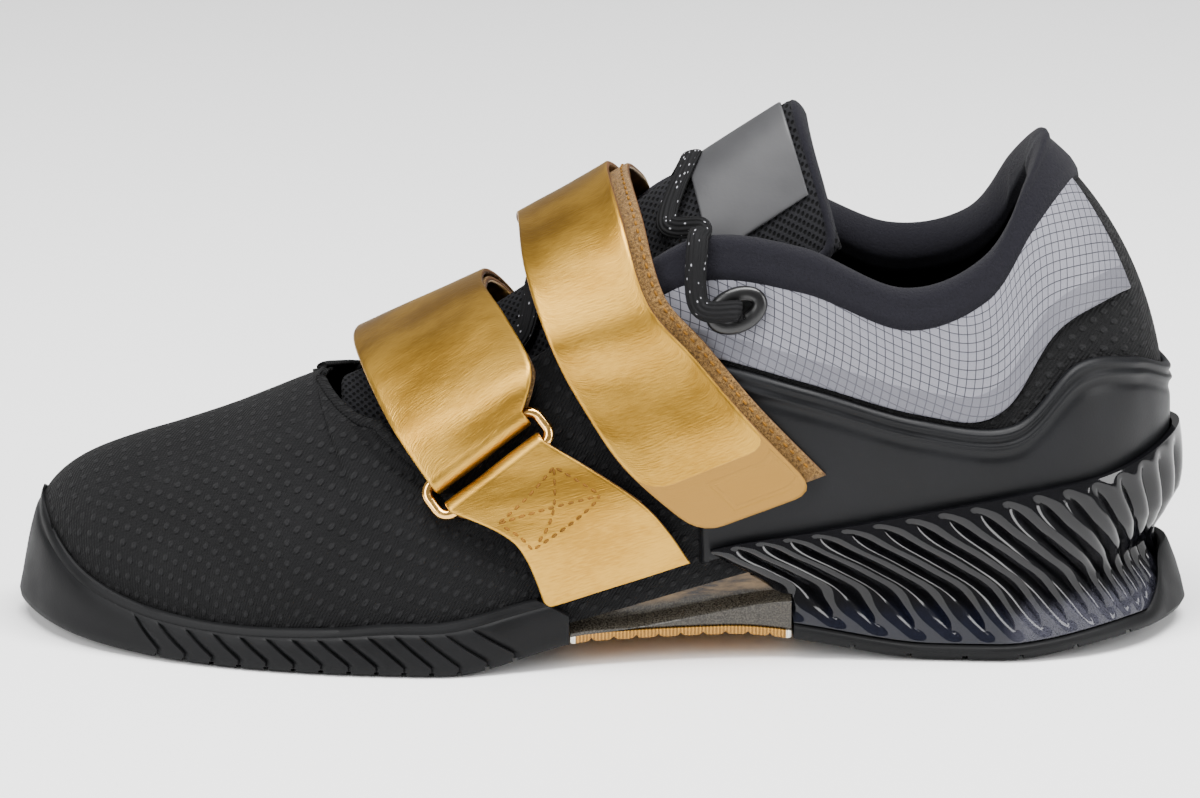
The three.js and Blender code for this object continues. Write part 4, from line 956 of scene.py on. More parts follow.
def plate(name, grow, replaced):
    return level_solid(name, [
        waist_level(1.1 - grow, lambda x: strip_top(x) + seat_gap - grow, seat_gap - grow),
        waist_level(0.7 - grow, lambda x: strip_top(x) + seat_gap + 0.4 - grow, seat_gap - grow),
        waist_level(0.7 - grow, lambda x: flange_top(x) - 1.0 + grow, seat_gap - grow),
        waist_level(1.4 - grow, lambda x: flange_top(x) - 0.4 + grow, seat_gap - grow),
        waist_level(plate_side - 1.2 - grow, lambda x: flange_top(x) + 0.2 + grow, seat_gap - grow),
        waist_level(plate_side - grow, lambda x: flange_top(x) + 1.2 + grow, seat_gap - grow),
        waist_level(plate_side - 0.5 - grow, lambda x: plate_top(x) + grow, seat_gap - grow),
    ], replaced, 40)


smoky = plate("smoky_plate", 0, ("waist_plate",))
smoke = material("smoky_plate", (0.02, 0.013, 0.008), 0.24, Specular_IOR_Level=0.35)
spot = in_place(smoke)
drawn_out = flat_map(smoke, 0, (0.12, 0.5, 0.6), "Object")
streaks = add_node(smoke, "TexNoise", Vector=drawn_out, Scale=0.9, Detail=5.0, Roughness=0.65)
specks = add_node(smoke, "TexNoise", Vector=spot, Scale=2.4, Detail=3.0)
split = add_node(smoke, "SeparateXYZ", Vector=spot)
brown = blend(smoke, span(smoke, streaks.outputs["Fac"], 0.35, 0.68),
              (0.008, 0.004, 0.0018), (0.13, 0.08, 0.033))
grey = blend(smoke, span(smoke, specks.outputs["Fac"], 0.35, 0.7),
             (0.012, 0.01, 0.0075), (0.048, 0.042, 0.032))
plate_rise = calc(smoke, "SUBTRACT", split.outputs["Z"], calc(smoke, "MULTIPLY", split.outputs["X"], 0.1))
feed(smoke, "Base Color", blend(smoke, span(smoke, plate_rise, 12.0, 14.5), grey, brown))
bump(smoke, streaks.outputs["Fac"], 0.2, 0.5)
put(smoky, smoke)

# Heel block. A moulded block of clear smoked polymer with leaning flutes, pinched in the middle,
# over a dark core.
heel_pad, sole_edge, shell_wall, shell_rim, flute_depth, flutes = 4, 0.8, 3.2, 2.2, 1.5, 36
pinch_side, pinch_back = 2.6, 6.5
block_profile = np.array([
    # up, out
    [0, 0],
    [0.14, -0.25],
    [0.33, -1],
    [0.52, -0.35],
    [0.72, 0.3],
    [0.9, 0.3],
    [1, 0],
])
top_front, base_front = row_at(wing_front), row_at(waist_rear + seat_gap)


def block_base(x):
    return underside(x) + heel_pad + seat_gap


def block_point(q, v, grow=0.0, fluted=True):
    q, v = same_shape(q, v)
    side = 1 - 2 * q
    if fluted:
        side = side * (1 + 0.75 * (smooth(0, 1, v) - 0.5) * (1 - np.abs(side)))
    start = mix(base_front, top_front, smooth(0, 1, v))
    t = heel_row - side * (heel_row - start)
    k = v * (len(block_profile) - 1)
    up = through(block_profile[:, 0], k, False)
    back = smooth(along(0.88), along(1), outline(t)[0])
    out = through(block_profile[:, 1], k, False)
    depth = out * np.where(out < 0, mix(pinch_side, pinch_back, back), pinch_side)
    wave = 0 * v
    if fluted:
        lobe = 1 - np.abs(np.sin(math.pi * flutes * q)) ** 0.75
        wave = -0.4 - 2.3 * lobe * smooth(0.02, 0.2, v) * smooth(0.97, 0.72, v)
    wave = wave - 1.3 * back * smooth(0.4, 0.15, v)
    base = edge_point(t, sole_edge, block_base)
    top = offset_point(t, share_at(t, sole_top(t)), counter_thickness + 3 * seat_gap + shell_rim)
    place = mix(base, top, up[..., None]) + out_of(t) * (depth + wave + grow)[..., None]
    place[..., 2] -= np.where(v == 0, grow, 0)
    return place


def heel_arc(n, x):
    return np.linspace(row_at(x), loop_rows - row_at(x), n + 1)


def core_levels(grow):
    ts = heel_arc(140, waist_rear + 4 - grow)
    levels = []
    for k, share in enumerate((0, 0.25, 0.6, 1)):
        pinch = mix(pinch_side, pinch_back, smooth(along(0.88), along(1), outline(ts)[0]))
        ripple = 0.7 * np.sin(ts * 9) * (grow == 0)
        place = edge_point(ts, sole_edge + shell_wall + flute_depth + pinch - grow + np.abs(ripple),
                           lambda x: mix(block_base(x) + 2.4, footbed(x) - 2 * seat_gap, share))
        place[:, 2] += (k == 3) * grow - (k == 0) * grow
        levels.append(place)
    return levels


vs = np.concatenate([[0, 0.015], np.linspace(0.04, 0.96, 30), [0.985, 1]])
qs = np.linspace(0, 1, flutes * 12 + 1)
shell = level_solid("fluted_shell", [block_point(qs, v) for v in vs], ("heel_shell",))
room_rows = np.linspace(row_at(wing_front - 18), loop_rows - row_at(wing_front - 18), 260)
boolean(shell, wall_room("room", room_rows, counter_thickness + 3 * seat_gap))
boolean(shell, level_solid("core_room", core_levels(seat_gap), None))
boolean(shell, plate("plate_room", seat_gap, None))
sharpen(shell, 38)
clear = material("smoked_shell", (0.02, 0.02, 0.024), 0.07, Transmission_Weight=0.35, IOR=1.5,
                 Specular_IOR_Level=0.2)
spot = in_place(clear)
split = add_node(clear, "SeparateXYZ", Vector=spot)
cloud = add_node(clear, "TexNoise", Vector=spot, Scale=0.22, Detail=3.0)
grit = add_node(clear, "TexNoise", Vector=spot, Scale=3.0, Detail=2.0)
low_tint = blend(clear, span(clear, split.outputs["X"], 98.0, 106.0),
                 (0.004, 0.005, 0.011), (0.055, 0.055, 0.072))
gritty_tint = blend(clear, span(clear, grit.outputs["Fac"], 0.45, 0.75), low_tint, (0.014, 0.015, 0.026))
edge_height = calc(clear, "ADD", calc(clear, "MULTIPLY", cloud.outputs["Fac"], 8.0),
                   calc(clear, "MULTIPLY", span(clear, split.outputs["X"], 95.0, 140.0), -4.0))
bottom = span(clear, calc(clear, "ADD", split.outputs["Z"], edge_height), 19.0, 13.0)
feed(clear, "Base Color", blend(clear, bottom, (0.004, 0.004, 0.005), gritty_tint))
put(shell, clear)

core = level_solid("dark_core", core_levels(0), ("heel_core",), 40)
put(core, grained("dark_core", (0.003, 0.003, 0.004), 0.4, 0.8, 0.2, 0.4, Specular_IOR_Level=0.2))

# Heel rubber. A tread pad under the block, with a lip that turns up at the back.
ts = heel_arc(300, waist_rear + seat_gap)
turned = smooth(along(0.955), along(0.995), outline(ts)[0])
lip = block_point(np.linspace(0, 1, 301), 0.3 * turned, 0, False)
lip[:, 2] -= 2 * seat_gap * (1 - turned)
lip_out = lip + out_of(ts) * (0.8 + 1.8 * turned)[:, None]
side_low = edge_point(ts, 0, lambda x: underside(x) + 1.6)
levels = [edge_point(ts, 1.8, underside), edge_point(ts, 0.7, lambda x: underside(x) + 0.3), side_low]
levels += [mix(side_low, lip_out, q) + out_of(ts) * (0.5 * math.sin(math.pi * q))
           for q in (0.3, 0.6, 0.85, 0.95)]
levels += [lip_out - out_of(ts) * inset + np.array([0, 0, up]) for inset, up in ((0.2, 0.1), (0.6, 0.25))]
heel_rubber = level_solid("heel_rubber", levels, ("outsole_heel",))
room_levels = [block_point(np.linspace(0, 1, 301), v, seat_gap, False) for v in np.linspace(0, 1, 24)]
boolean(heel_rubber, level_solid("block_room", room_levels, None))
for x in np.linspace(waist_rear + 15, along(0.94), 6):
    level = float(underside(x))
    boolean(heel_rubber, slab("groove", (x - 0.6, -70, level - 3), (x + 0.7, 70, level + 1.4)))
sharpen(heel_rubber)
put(heel_rubber, rubber)

# Strap rings. Polished gilt wire bent to a rectangle and brazed, held flat on the wall.
strap_clearance, strap_thickness, ring_wire = 1.2, 1.6, 2.8
ring_half_length, ring_half_width, ring_corner, strap_half_width = 17, 4.6, 3, 14.5
fold_radius = ring_wire / 2 + seat_gap + strap_thickness / 2
tab_length = 17


def wall_spot(x, z, hand):
    t = row_at(x) if hand < 0 else loop_rows - row_at(x)
    for _ in range(12):
        s = float(share_at(t, z))
        slope = (upper_point(t + 0.05, s)[0] - upper_point(t - 0.05, s)[0]) / 0.1
        t += (x - upper_point(t, s)[0]) / slope
    return t, s


def wall_frame(t, s, distance, turn=0.0):
    """Axes forward along the wall, up it and out of it, and a place at the distance."""
    out = upper_normal(t, s)
    up = unit(np.array([0, 0, 1]) - out * out[2])
    forward = np.cross(up, out)
    c, d = math.cos(turn), math.sin(turn)
    return np.stack([forward * c + up * d, up * c - forward * d, out], 1), offset_point(t, s, distance)


def ring_frame(at, up, hand, turn):
    t, s = wall_spot(along(at), up * collar_height, hand)
    return wall_frame(t, s, strap_clearance + strap_thickness + seat_gap + ring_wire / 2, math.radians(turn))


def sweep(name, path, side, up, half_side, half_up, closed, replaced, sides=14):
    """A wire, cord or rim of oval section along a path. Its flat layout runs along it and round it."""
    path, n = np.asarray(path), len(path)
    angles = np.linspace(0, 2 * math.pi, sides, endpoint=False)
    rings = [path + side * (math.cos(a) * half_side) + up * (math.sin(a) * half_up) for a in angles]
    points = np.stack(rings, 1)
    faces = grid_faces(n, sides, 0, closed, True)
    if not closed:
        faces += [tuple(range(sides))[::-1], tuple(range((n - 1) * sides, n * sides))]
    run = np.concatenate([[0], np.cumsum(np.linalg.norm(np.diff(path, axis=0), axis=1))])
    girth = angles * (half_side + half_up) / 2
    uv = np.stack([np.repeat(run[:, None], sides, 1), np.repeat(girth[None], n, 0)], -1)
    return build(name, points, faces, replaced, uv)


wire_gold = material("gilt_wire", (0.8, 0.46, 0.13), 0.14, Metallic=1.0)
scuffs = add_node(wire_gold, "TexNoise", Vector=in_place(wire_gold), Scale=1.2, Detail=4.0)
feed(wire_gold, "Roughness", span(wire_gold, scuffs.outputs["Fac"], 0.4, 0.7, 0.1, 0.24))
front_frame, rear_frame = ring_frame(0.406, 0.393, -1, 40), ring_frame(0.507, 0.625, 1, -38)
for name, (axes, place) in (("front", front_frame), ("rear", rear_frame)):
    corners = []
    for cx, cy, begin in ((1, 1, 0), (-1, 1, 90), (-1, -1, 180), (1, -1, 270)):
        for angle in np.radians(begin + np.linspace(0, 90, 9)):
            corners.append([cx * (ring_half_length - ring_corner) + ring_corner * math.cos(angle),
                            cy * (ring_half_width - ring_corner) + ring_corner * math.sin(angle), 0])
    flat_path = np.array(corners)
    ahead = unit(np.roll(flat_path, -1, 0) - np.roll(flat_path, 1, 0))
    side = np.stack([ahead[:, 1], -ahead[:, 0], ahead[:, 2]], -1)
    ups = np.repeat(axes[:, 2][None], len(corners), 0)
    ring = sweep(f"{name}_wire", flat_path @ axes.T + place, side @ axes.T, ups,
                 ring_wire / 2, ring_wire / 2, True, (f"{name}_ring",))
    put(ring, wire_gold)

# Tongue binding. The collar's brushed tape, folded over the tongue's rim and sewn.
down = np.linspace(0.62, 0.985, 40)
over = np.linspace(1, -1, 40)
tape_u = np.concatenate([down, 0 * over[1:-1] + 0.985, down[::-1]])
tape_w = np.concatenate([0 * down + 0.985, over[1:-1] * 0.985, 0 * down - 0.985])
tape_path = tongue_point(tape_u, tape_w)
for _ in range(6):
    tape_path[1:-1] = (tape_path[:-2] + 2 * tape_path[1:-1] + tape_path[2:]) / 4
tape_up = sheet_normal(tongue_point, np.minimum(tape_u, 0.97), tape_w * 0.97)
tape_side = unit(np.cross(np.gradient(tape_path, axis=0), tape_up))
tape = sweep("tongue_tape", tape_path, tape_side, tape_up, 1.7, tongue_thickness / 2 + 1.1, False, ())
put(tape, brushed)

# Throat seam. A raised knit rib on both sides of the throat's front, where the sleeve is joined in.
seam_places = ((0.262, 0.6), (0.27, 0.55), (0.284, 0.485), (0.318, 0.435), (0.347, 0.39), (0.375, 0.33))
for side_name, hand in (("lateral", -1), ("medial", 1)):
    marks = np.array(seam_places)
    reach = np.linspace(0, len(marks) - 1, 26)
    at, up = (np.interp(reach, np.arange(len(marks)), marks[:, c]) for c in (0, 1))
    spots = [wall_spot(along(a), b * collar_height, hand) for a, b in zip(at, up)]
    path = np.array([offset_point(t, s, 0.25) for t, s in spots])
    ups = np.array([upper_normal(t, s) for t, s in spots])
    sides = unit(np.cross(np.gradient(path, axis=0), ups))
    rib_seam = sweep(f"throat_seam_{side_name}", path, sides, ups, 1.5, 0.9, False, ())
    put(rib_seam, knit)

# Straps. Leather with a metallic gold coat and a loop pile behind, folded round the rings and
# fastened to themselves.
strap_rows = {
    "front": [
        # front_at, front_side, front_up, rear_at, rear_side, rear_up, lift
        (0.41, None, 0.17, 0.515, None, 0.21, 1.6),
        (0.37, None, 0.36, 0.475, None, 0.42, 4.2),
        (0.325, 0.66, 0.5, 0.43, 0.71, 0.59, 0),
        (0.3, 0.42, 0.56, 0.405, 0.42, 0.675, 0),
        (0.29, 0.1, 0.572, 0.4, 0.06, 0.685, 0),
        (0.3, -0.3, 0.545, 0.42, -0.34, 0.652, 0),
        (0.325, -0.66, 0.465, 0.44, -0.68, 0.59, 0),
    ],
    "front_anchor": [
        (0.45, None, 0.125, 0.57, None, 0.205, 1.6),
        (0.425, None, 0.25, 0.53, None, 0.33, 4.6),
    ],
    "rear": [
        (0.577, None, 0.27, 0.675, None, 0.355, 4.4),
        (0.517, None, 0.395, 0.62, None, 0.49, 5.8),
        (0.48, None, 0.525, 0.575, None, 0.61, 5.8),
        (0.453, -0.72, 0.65, 0.535, -0.74, 0.725, 0),
        (0.435, -0.44, 0.76, 0.515, -0.46, 0.865, 0),
        (0.43, 0.05, 0.82, 0.505, 0.05, 0.925, 0),
        (0.43, 0.5, 0.765, 0.52, 0.5, 0.87, 0),
        (0.445, 0.72, 0.7, 0.535, 0.74, 0.8, 0),
    ],
    "rear_anchor": [
        (0.555, None, 0.24, 0.655, None, 0.29, 1.6),
        (0.51, None, 0.43, 0.62, None, 0.51, 5.6),
    ],
}


def strap_surface(rows, hands, frame, ring_hand, across):
    """A strap's middle surface, from its rows to its ring. A row with no side lies on the wall."""
    axes, place = frame
    lines = []
    for row, hand in zip(rows, hands):
        line = []
        for at, side, up in (row[:3], row[3:6]):
            if side is None:
                line.append(offset_point(*wall_spot(along(at), up * collar_height, hand), row[6]))
            else:
                line.append(np.array([along(at), side * half_ball, up * collar_height]))
        lines.append(line)
    ring_side = across * (ring_half_width + 0.01)
    bar = [axes @ np.array([x, ring_side, fold_radius]) + place
           for x in (-strap_half_width, strap_half_width)]
    lines.append(bar[::-1] if ring_hand > 0 else bar)
    lines = np.array(lines)

    def point(u, w):
        u, w = same_shape(u, w)
        k = np.clip(u, 0, 1) * (len(lines) - 1)
        edges = [np.stack([through(lines[:, e, c], k, False) for c in range(3)], -1) for e in (0, 1)]
        return mix(edges[0], edges[1], w[..., None])
    return point


def folded_strap(name, surface, frame, across, back_to, skew, replaced, corner=(0, 0), run_from=0):
    """Over the ring wire and back underneath. Face 0 is the coat, 1 the cut edge, 2 the pile."""
    axes, _ = frame
    out, down = axes[:, 2], axes[:, 1] * -across
    w = np.concatenate([[0, 0.012, 0.035], np.linspace(0.07, 0.93, 15), [0.965, 0.988, 1]])
    near = np.clip((np.abs(w - 0.5) - 0.5 + corner[1]) / max(corner[1], 1e-6), 0, 1)
    start = corner[0] * (1 - np.sqrt(1 - near ** 2))
    rows = [surface(start + (1 - start) * u, w) for u in np.linspace(0, 1, 130)]
    for angle in np.radians(np.arange(12, 181, 12)):
        place = surface(1, w) + down * (math.sin(angle) * fold_radius)
        rows.append(place - out * ((1 - math.cos(angle)) * fold_radius))
    for u in np.linspace(1, back_to, int(110 * (1 - back_to)) + 8)[1:]:
        away = float(smooth(0, 0.25, 1 - u))
        place = surface(u, w)
        normal = sheet_normal(surface, min(u, 0.985), np.array(0.5))
        normal = normal * np.sign(normal @ np.array([0, np.sign(place[0, 1]), 1.0]))
        normal = unit(mix(normal, out, 1 - away))
        rows.append(place - normal * mix(2 * fold_radius, strap_thickness + 2 * seat_gap, away) + skew * away)
    grid = np.array(rows)
    by_u = np.gradient(grid, axis=0)
    by_w = np.gradient(grid, axis=1)
    normal = unit(np.cross(by_u, by_w))
    test = normal[40, 10] @ np.array([0, np.sign(grid[40, 10, 1]), 1.0])
    if test < 0:
        grid, normal = grid[:, ::-1], -normal[:, ::-1]
    run, width = lengths(grid, 0), lengths(grid, 1)
    border = np.minimum(np.minimum(width, width[:, -1:] - width), np.minimum(run, run[-1:] - run))
    half = strap_thickness / 2 * (0.62 + 0.38 * np.sqrt(1 - (1 - np.clip(border / 0.5, 0, 1)) ** 2))
    ripple = 0.16 * np.sin(run / 4.1 + 0.9 * np.sin(width / 6.0)) * np.sin(width / width[:, -1:] * math.pi)
    coat_face = grid + normal * (half + ripple)[..., None]
    pile_face = grid - normal * (half - ripple)[..., None]
    obj = two_faced(name, coat_face, pile_face, replaced, np.stack([run + run_from, width], -1))
    cells = (grid.shape[0] - 1) * (grid.shape[1] - 1)
    kinds = np.array([0] * cells + [2] * cells + [1] * (len(obj.data.polygons) - 2 * cells))
    put(obj, gold, cut_edge, pile)
    obj.data.polygons.foreach_set("material_index", kinds)
    return obj


gold = material("gold_coat", (0.4, 0.2, 0.03), 0.3, Metallic=1.0)
strap_split = add_node(gold, "SeparateXYZ", Vector=flat_map(gold))
ribbed = add_node(gold, "TexWave", Vector=flat_map(gold), Scale=0.42, Distortion=0.8, Detail=2.0,
                  Detail_Scale=0.6)
creases = add_node(gold, "TexNoise", Vector=flat_map(gold, 0, (0.5, 0.25, 1)), Scale=0.16, Detail=2.0)
fine = add_node(gold, "TexNoise", Vector=flat_map(gold, 0, (1.6, 0.28, 1)), Scale=1.3, Detail=3.0)
tab = span(gold, strap_split.outputs["X"], tab_length + 0.25, tab_length - 0.25)
off_frame = []
for axis, middle, half in (("X", tab_length / 2, 4.6), ("Y", strap_half_width, 9)):
    from_middle = calc(gold, "ABSOLUTE", calc(gold, "SUBTRACT", strap_split.outputs[axis], middle))
    off_frame.append(calc(gold, "SUBTRACT", from_middle, half))
frame_line = calc(gold, "ABSOLUTE", calc(gold, "MAXIMUM", *off_frame))
stamped = calc(gold, "MULTIPLY", span(gold, frame_line, 0.9, 0.3), tab)
tone = calc(gold, "ADD", calc(gold, "MULTIPLY", creases.outputs["Fac"], 0.6),
            calc(gold, "MULTIPLY", fine.outputs["Fac"], 0.4))
coat = blend(gold, span(gold, tone, 0.35, 0.65), (0.37, 0.19, 0.024), (0.53, 0.3, 0.048))
feed(gold, "Base Color", blend(gold, tab, coat, (0.3, 0.155, 0.022)))
feed(gold, "Metallic", span(gold, tab, 0.0, 1.0, 1.0, 0.5))
coat_roughness = span(gold, creases.outputs["Fac"], 0.3, 0.7, 0.33, 0.42)
feed(gold, "Roughness", calc(gold, "MAXIMUM", coat_roughness, calc(gold, "MULTIPLY", tab, 0.6)))
leather_grain = calc(gold, "ADD", calc(gold, "MULTIPLY", ribbed.outputs["Fac"], 0.05),
                     calc(gold, "MULTIPLY", fine.outputs["Fac"], 0.75))
pressed = calc(gold, "SUBTRACT", leather_grain, calc(gold, "MULTIPLY", tab, 1.5))
bump(gold, calc(gold, "SUBTRACT", pressed, calc(gold, "MULTIPLY", stamped, 2.0)), 0.12, 0.8)
cut_edge = grained("strap_edge", (0.1, 0.045, 0.016), 0.75, 2.5, 0.1, 0.3, Specular_IOR_Level=0.2)
pile = material("loop_pile", (0.12, 0.07, 0.03), 0.95, Specular_IOR_Level=0.1, Sheen_Weight=0.1)
curls = add_node(pile, "TexNoise", Vector=in_place(pile), Scale=1.5, Detail=5.0, Roughness=0.8)
feed(pile, "Base Color", blend(pile, span(pile, curls.outputs["Fac"], 0.35, 0.68),
                               (0.07, 0.035, 0.01), (0.32, 0.175, 0.05)))
bump(pile, curls.outputs["Fac"], 0.9, 1.0)
front_surface = strap_surface(strap_rows["front"], [1, 1, 1, 1, 1, -1, -1], front_frame, -1, 1)
anchor_surface = strap_surface(strap_rows["front_anchor"], [-1, -1], front_frame, -1, -1)
rear_surface = strap_surface(strap_rows["rear"], [-1, -1, -1, -1, -1, -1, 1, 1], rear_frame, 1, 1)
rear_anchor_surface = strap_surface(strap_rows["rear_anchor"], [1, 1], rear_frame, 1, -1)
no_skew = np.zeros(3)
rear_skew = np.array([4, 0, 1.5])
for strap in (
    ("front_gold_strap", front_surface, front_frame, 1, 0.3, no_skew, ("front_strap",), (0.04, 0.2)),
    ("front_gold_anchor", anchor_surface, front_frame, -1, 0.5, no_skew, ("front_anchor",), (0, 0), 100),
    ("rear_gold_strap", rear_surface, rear_frame, 1, 0.02, rear_skew, ("rear_strap",), (0.045, 0.2)),
    ("rear_gold_anchor", rear_anchor_surface, rear_frame, -1, 0.5, no_skew, ("rear_anchor",), (0, 0), 100),
):
    folded_strap(*strap)


# Strap stitches. A boxed cross that holds the front anchor, and a row along the edge of the rear
# strap's returning layer, in waxed gold thread.
def sheet_outwards(surface, u, w):
    """Places on a strap's surface, with normals that point away from the foot."""
    place, normal = surface(u, w), sheet_normal(surface, u, w)
    away = np.stack([0 * u, np.sign(place[..., 1]), 0.3 + 0 * u], -1)
    return place, normal * np.sign((normal * away).sum(-1, keepdims=True))


def place_on(path, run, at):
    return np.array([np.interp(at, run, path[:, c]) for c in range(3)])


def stitches(name, surface, lines, lift_off, mat, pitch=2.5, length=1.8, radius=0.33):
    points, faces = [], []
    for line in lines:
        even, corners = np.linspace(0, 1, 400), np.linspace(0, 1, len(line))
        u, w = (np.interp(even, corners, [p[k] for p in line]) for k in (0, 1))
        place, normal = sheet_outwards(surface, u, w)
        place = place + normal * lift_off
        run = np.concatenate([[0], np.cumsum(np.linalg.norm(np.diff(place, axis=0), axis=1))])
        for at in np.arange(pitch / 2, run[-1] - pitch / 2, pitch):
            a, b = (place_on(place, run, end) for end in (at - length / 2, at + length / 2))
            up = normal[min(int(np.searchsorted(run, at)), len(run) - 1)]
            side = unit(np.cross(b - a, up))
            first = len(points)
            points += [a - up * 0.2, b - up * 0.2]
            for q in (0.25, 0.75):
                middle = mix(a, b, q)
                points += [middle + side * radius, middle + up * radius]
                points += [middle - side * radius, middle - up * radius]
            for j in range(4):
                p, n = first + 2 + j, first + 2 + (j + 1) % 4
                faces += [(first, p, n), (p, p + 4, n + 4, n), (first + 1, n + 4, p + 4)]
    obj = build(name, points, faces, ())
    put(obj, mat)
    return obj


thread = grained("waxed_thread", (0.17, 0.075, 0.01), 0.6, 3.0, 0.1, 0.3, Specular_IOR_Level=0.1)
box = ((0.7, 0.08), (0.84, 0.84), (0.62, 0.84), (0.43, 0.08), (0.7, 0.08))
seam = stitches("anchor_box_cross", anchor_surface, [box, (box[0], box[2]), (box[1], box[3])],
                strap_thickness / 2 + 0.2, thread)


def under_rear(u, w):
    """The rear strap's returning layer, whose pile shows along the rear edge."""
    place, normal = sheet_outwards(rear_surface, u, w)
    skew = rear_skew * smooth(0, 0.25, 1 - u)[..., None]
    return place - normal * (strap_thickness + 2 * seat_gap) + skew


edge_seam = stitches("pile_edge_stitches", under_rear, [((0.04, 0.94), (0.8, 0.94))],
                     strap_thickness / 2 + 0.15, thread)

# Top eyelets. Glossy black oval rings clipped through the quarters.
eyelet_plastic = grained("eyelet_plastic", (0.002, 0.002, 0.0022), 0.34, 1.0, 0.03, 0.2)
eyelets = []
for name, hand, up, turn in (("lateral", -1, 0.7, 25), ("medial", 1, 0.735, -25)):
    t = row_at(along(0.627)) if hand < 0 else loop_rows - row_at(along(0.627))
    s = float(share_at(t, up * collar_height))
    eyelets.append((t, s))
    axes, place = wall_frame(t, s, 2 * seat_gap + quarter_thickness + 1.2, math.radians(turn))
    angle = np.linspace(0, 2 * math.pi, 64, endpoint=False)
    oval = np.stack([6 * np.cos(angle), 3.6 * np.sin(angle), 0 * angle], -1)
    side = np.stack([np.cos(angle), np.sin(angle), 0 * angle], -1)
    ups = np.repeat(axes[:, 2][None], len(angle), 0)
    eyelet = sweep(f"oval_eyelet_{name}", oval @ axes.T + place, side @ axes.T, ups,
                   2.0, 1.2, True, (f"eyelet_{name}",))
    put(eyelet, eyelet_plastic)
    # A near-black disc sunk inside each ring's opening: painted shade for the hole, over the black knit
    # beneath it.
    ring_points = np.concatenate([oval * 0.85, oval * 0.8 - [0, 0, 1.0]]) @ axes.T + place - axes[:, 2] * 0.9
    shade_disc_faces = grid_faces(2, 64, 0, False, True) + [tuple(range(64))[::-1], tuple(range(64, 128))]
    shade_disc = build(f"eyelet_shade_disc_{name}", ring_points, shade_disc_faces, ())
    put(shade_disc, grained(f"painted_hole_shade_{name}", (0.002, 0.002, 0.002), 0.9, 2.0, 0.05, 0.3))

# Laces. Flat braided polyester with reflective flecks, threaded over the tongue and out of the top
# eyelets.
lace_width, lace_thickness = 4.4, 2.6


def over_tongue(x, y, raised):
    low, high = 0.0, 1.0
    for _ in range(30):
        u = (low + high) / 2
        if tongue_point(u, 0)[0] < x:
            low = u
        else:
            high = u
    half = tongue_point(u, 1)[1] - tongue_point(u, 0)[1]
    w = float(np.clip((y - tongue_point(u, 0)[1]) / half, -1, 1))
    level = tongue_thickness / 2 + 2 * seat_gap + lace_thickness / 2
    level = level / abs(sheet_normal(tongue_point, u, w)[2])
    return np.array([x, y, tongue_point(u, w)[2] + level + raised * lace_thickness])


def between(p, q, start, end, t):
    return (end - t) / (end - start) * p + (t - start) / (end - start) * q


def centripetal(points, count):
    """A curve through the points, walked at an even pace."""
    p = np.array(points, float)
    p = np.concatenate([[2 * p[0] - p[1]], p, [2 * p[-1] - p[-2]]])
    out = []
    for a, b, c, d in zip(p[:-3], p[1:-2], p[2:-1], p[3:]):
        t1 = np.linalg.norm(b - a) ** 0.5
        t2 = t1 + np.linalg.norm(c - b) ** 0.5
        t3 = t2 + np.linalg.norm(d - c) ** 0.5
        t = np.linspace(t1, t2, 24, endpoint=False)[:, None]
        middle = between(b, c, t1, t2, t)
        first = between(between(a, b, 0, t1, t), middle, 0, t2, t)
        last = between(middle, between(c, d, t2, t3, t), t1, t3, t)
        out.append(between(first, last, t1, t2, t))
    out = np.concatenate(out + [p[-2:-1]])
    run = np.concatenate([[0], np.cumsum(np.linalg.norm(np.diff(out, axis=0), axis=1))])
    at = np.linspace(0, run[-1], count)
    return np.stack([np.interp(at, run, out[:, c]) for c in range(3)], -1)


def lace(name, points, replaced):
    path = centripetal(points, len(points) * 22)
    ahead = unit(np.gradient(path, axis=0))
    sideways = np.clip(path[:, 1] / 20, -1, 1)
    away = np.stack([-0.25 - 0 * sideways, 1.3 * sideways * np.abs(sideways), 1 - 0.75 * sideways ** 2], -1)
    side = unit(np.cross(ahead, away))
    obj = sweep(name, path, side, np.cross(side, ahead), lace_width * 0.62, lace_thickness * 0.4,
                False, replaced, 16)
    return obj, path


braid = material("braided_lace", (0.005, 0.005, 0.0055), 0.8, Specular_IOR_Level=0.15)
weave = add_node(braid, "TexWave", Vector=flat_map(braid, 90), Scale=0.34, Distortion=0.3)
flecks = add_node(braid, "TexVoronoi", Vector=flat_map(braid, 15, (0.5, 1.2, 1)), Scale=0.95, Randomness=0.8)
speck = span(braid, flecks.outputs["Distance"], 0.21, 0.12)
bump(braid, weave.outputs["Fac"], 0.3, 0.9)
feed(braid, "Base Color", blend(braid, speck, (0.0045, 0.0045, 0.005), (0.3, 0.3, 0.32)))
lower_route = (
    # at, side, raised
    (0.315, -0.18, 0.3),
    (0.33, 0.1, 0.25),
    (0.348, 0.34, 0.4),
    (0.375, 0.36, 0.4),
    (0.392, 0.05, 0.3),
    (0.405, -0.26, 0.4),
    (0.43, -0.28, 0.4),
    (0.447, 0.05, 0.3),
    (0.465, 0.36, 0.4),
)
upper_route = (
    # at, side, raised
    (0.553, -0.3, 0.8),
    (0.575, 0, 0.4),
    (0.563, 0.3, 0.8),
)
rim_row = row_at(along(0.6))


def on_tongue(route):
    return [over_tongue(along(at), side * half_ball, raised) for at, side, raised in route]


def over_rim(t):
    low = offset_point(t, 0.83, 5.4)
    return [low, offset_point(t, 1.0, 3.4) + [0, 0, 3], offset_point(t, 1.0, -4.0) + [0, 0, 6.4]]


def eyelet_end(t, s):
    clear_of_ring = 2 * seat_gap + quarter_thickness + 2.4 + lace_thickness + 1.2
    return [offset_point(t, s, distance) for distance in (-5, 1, clear_of_ring)]


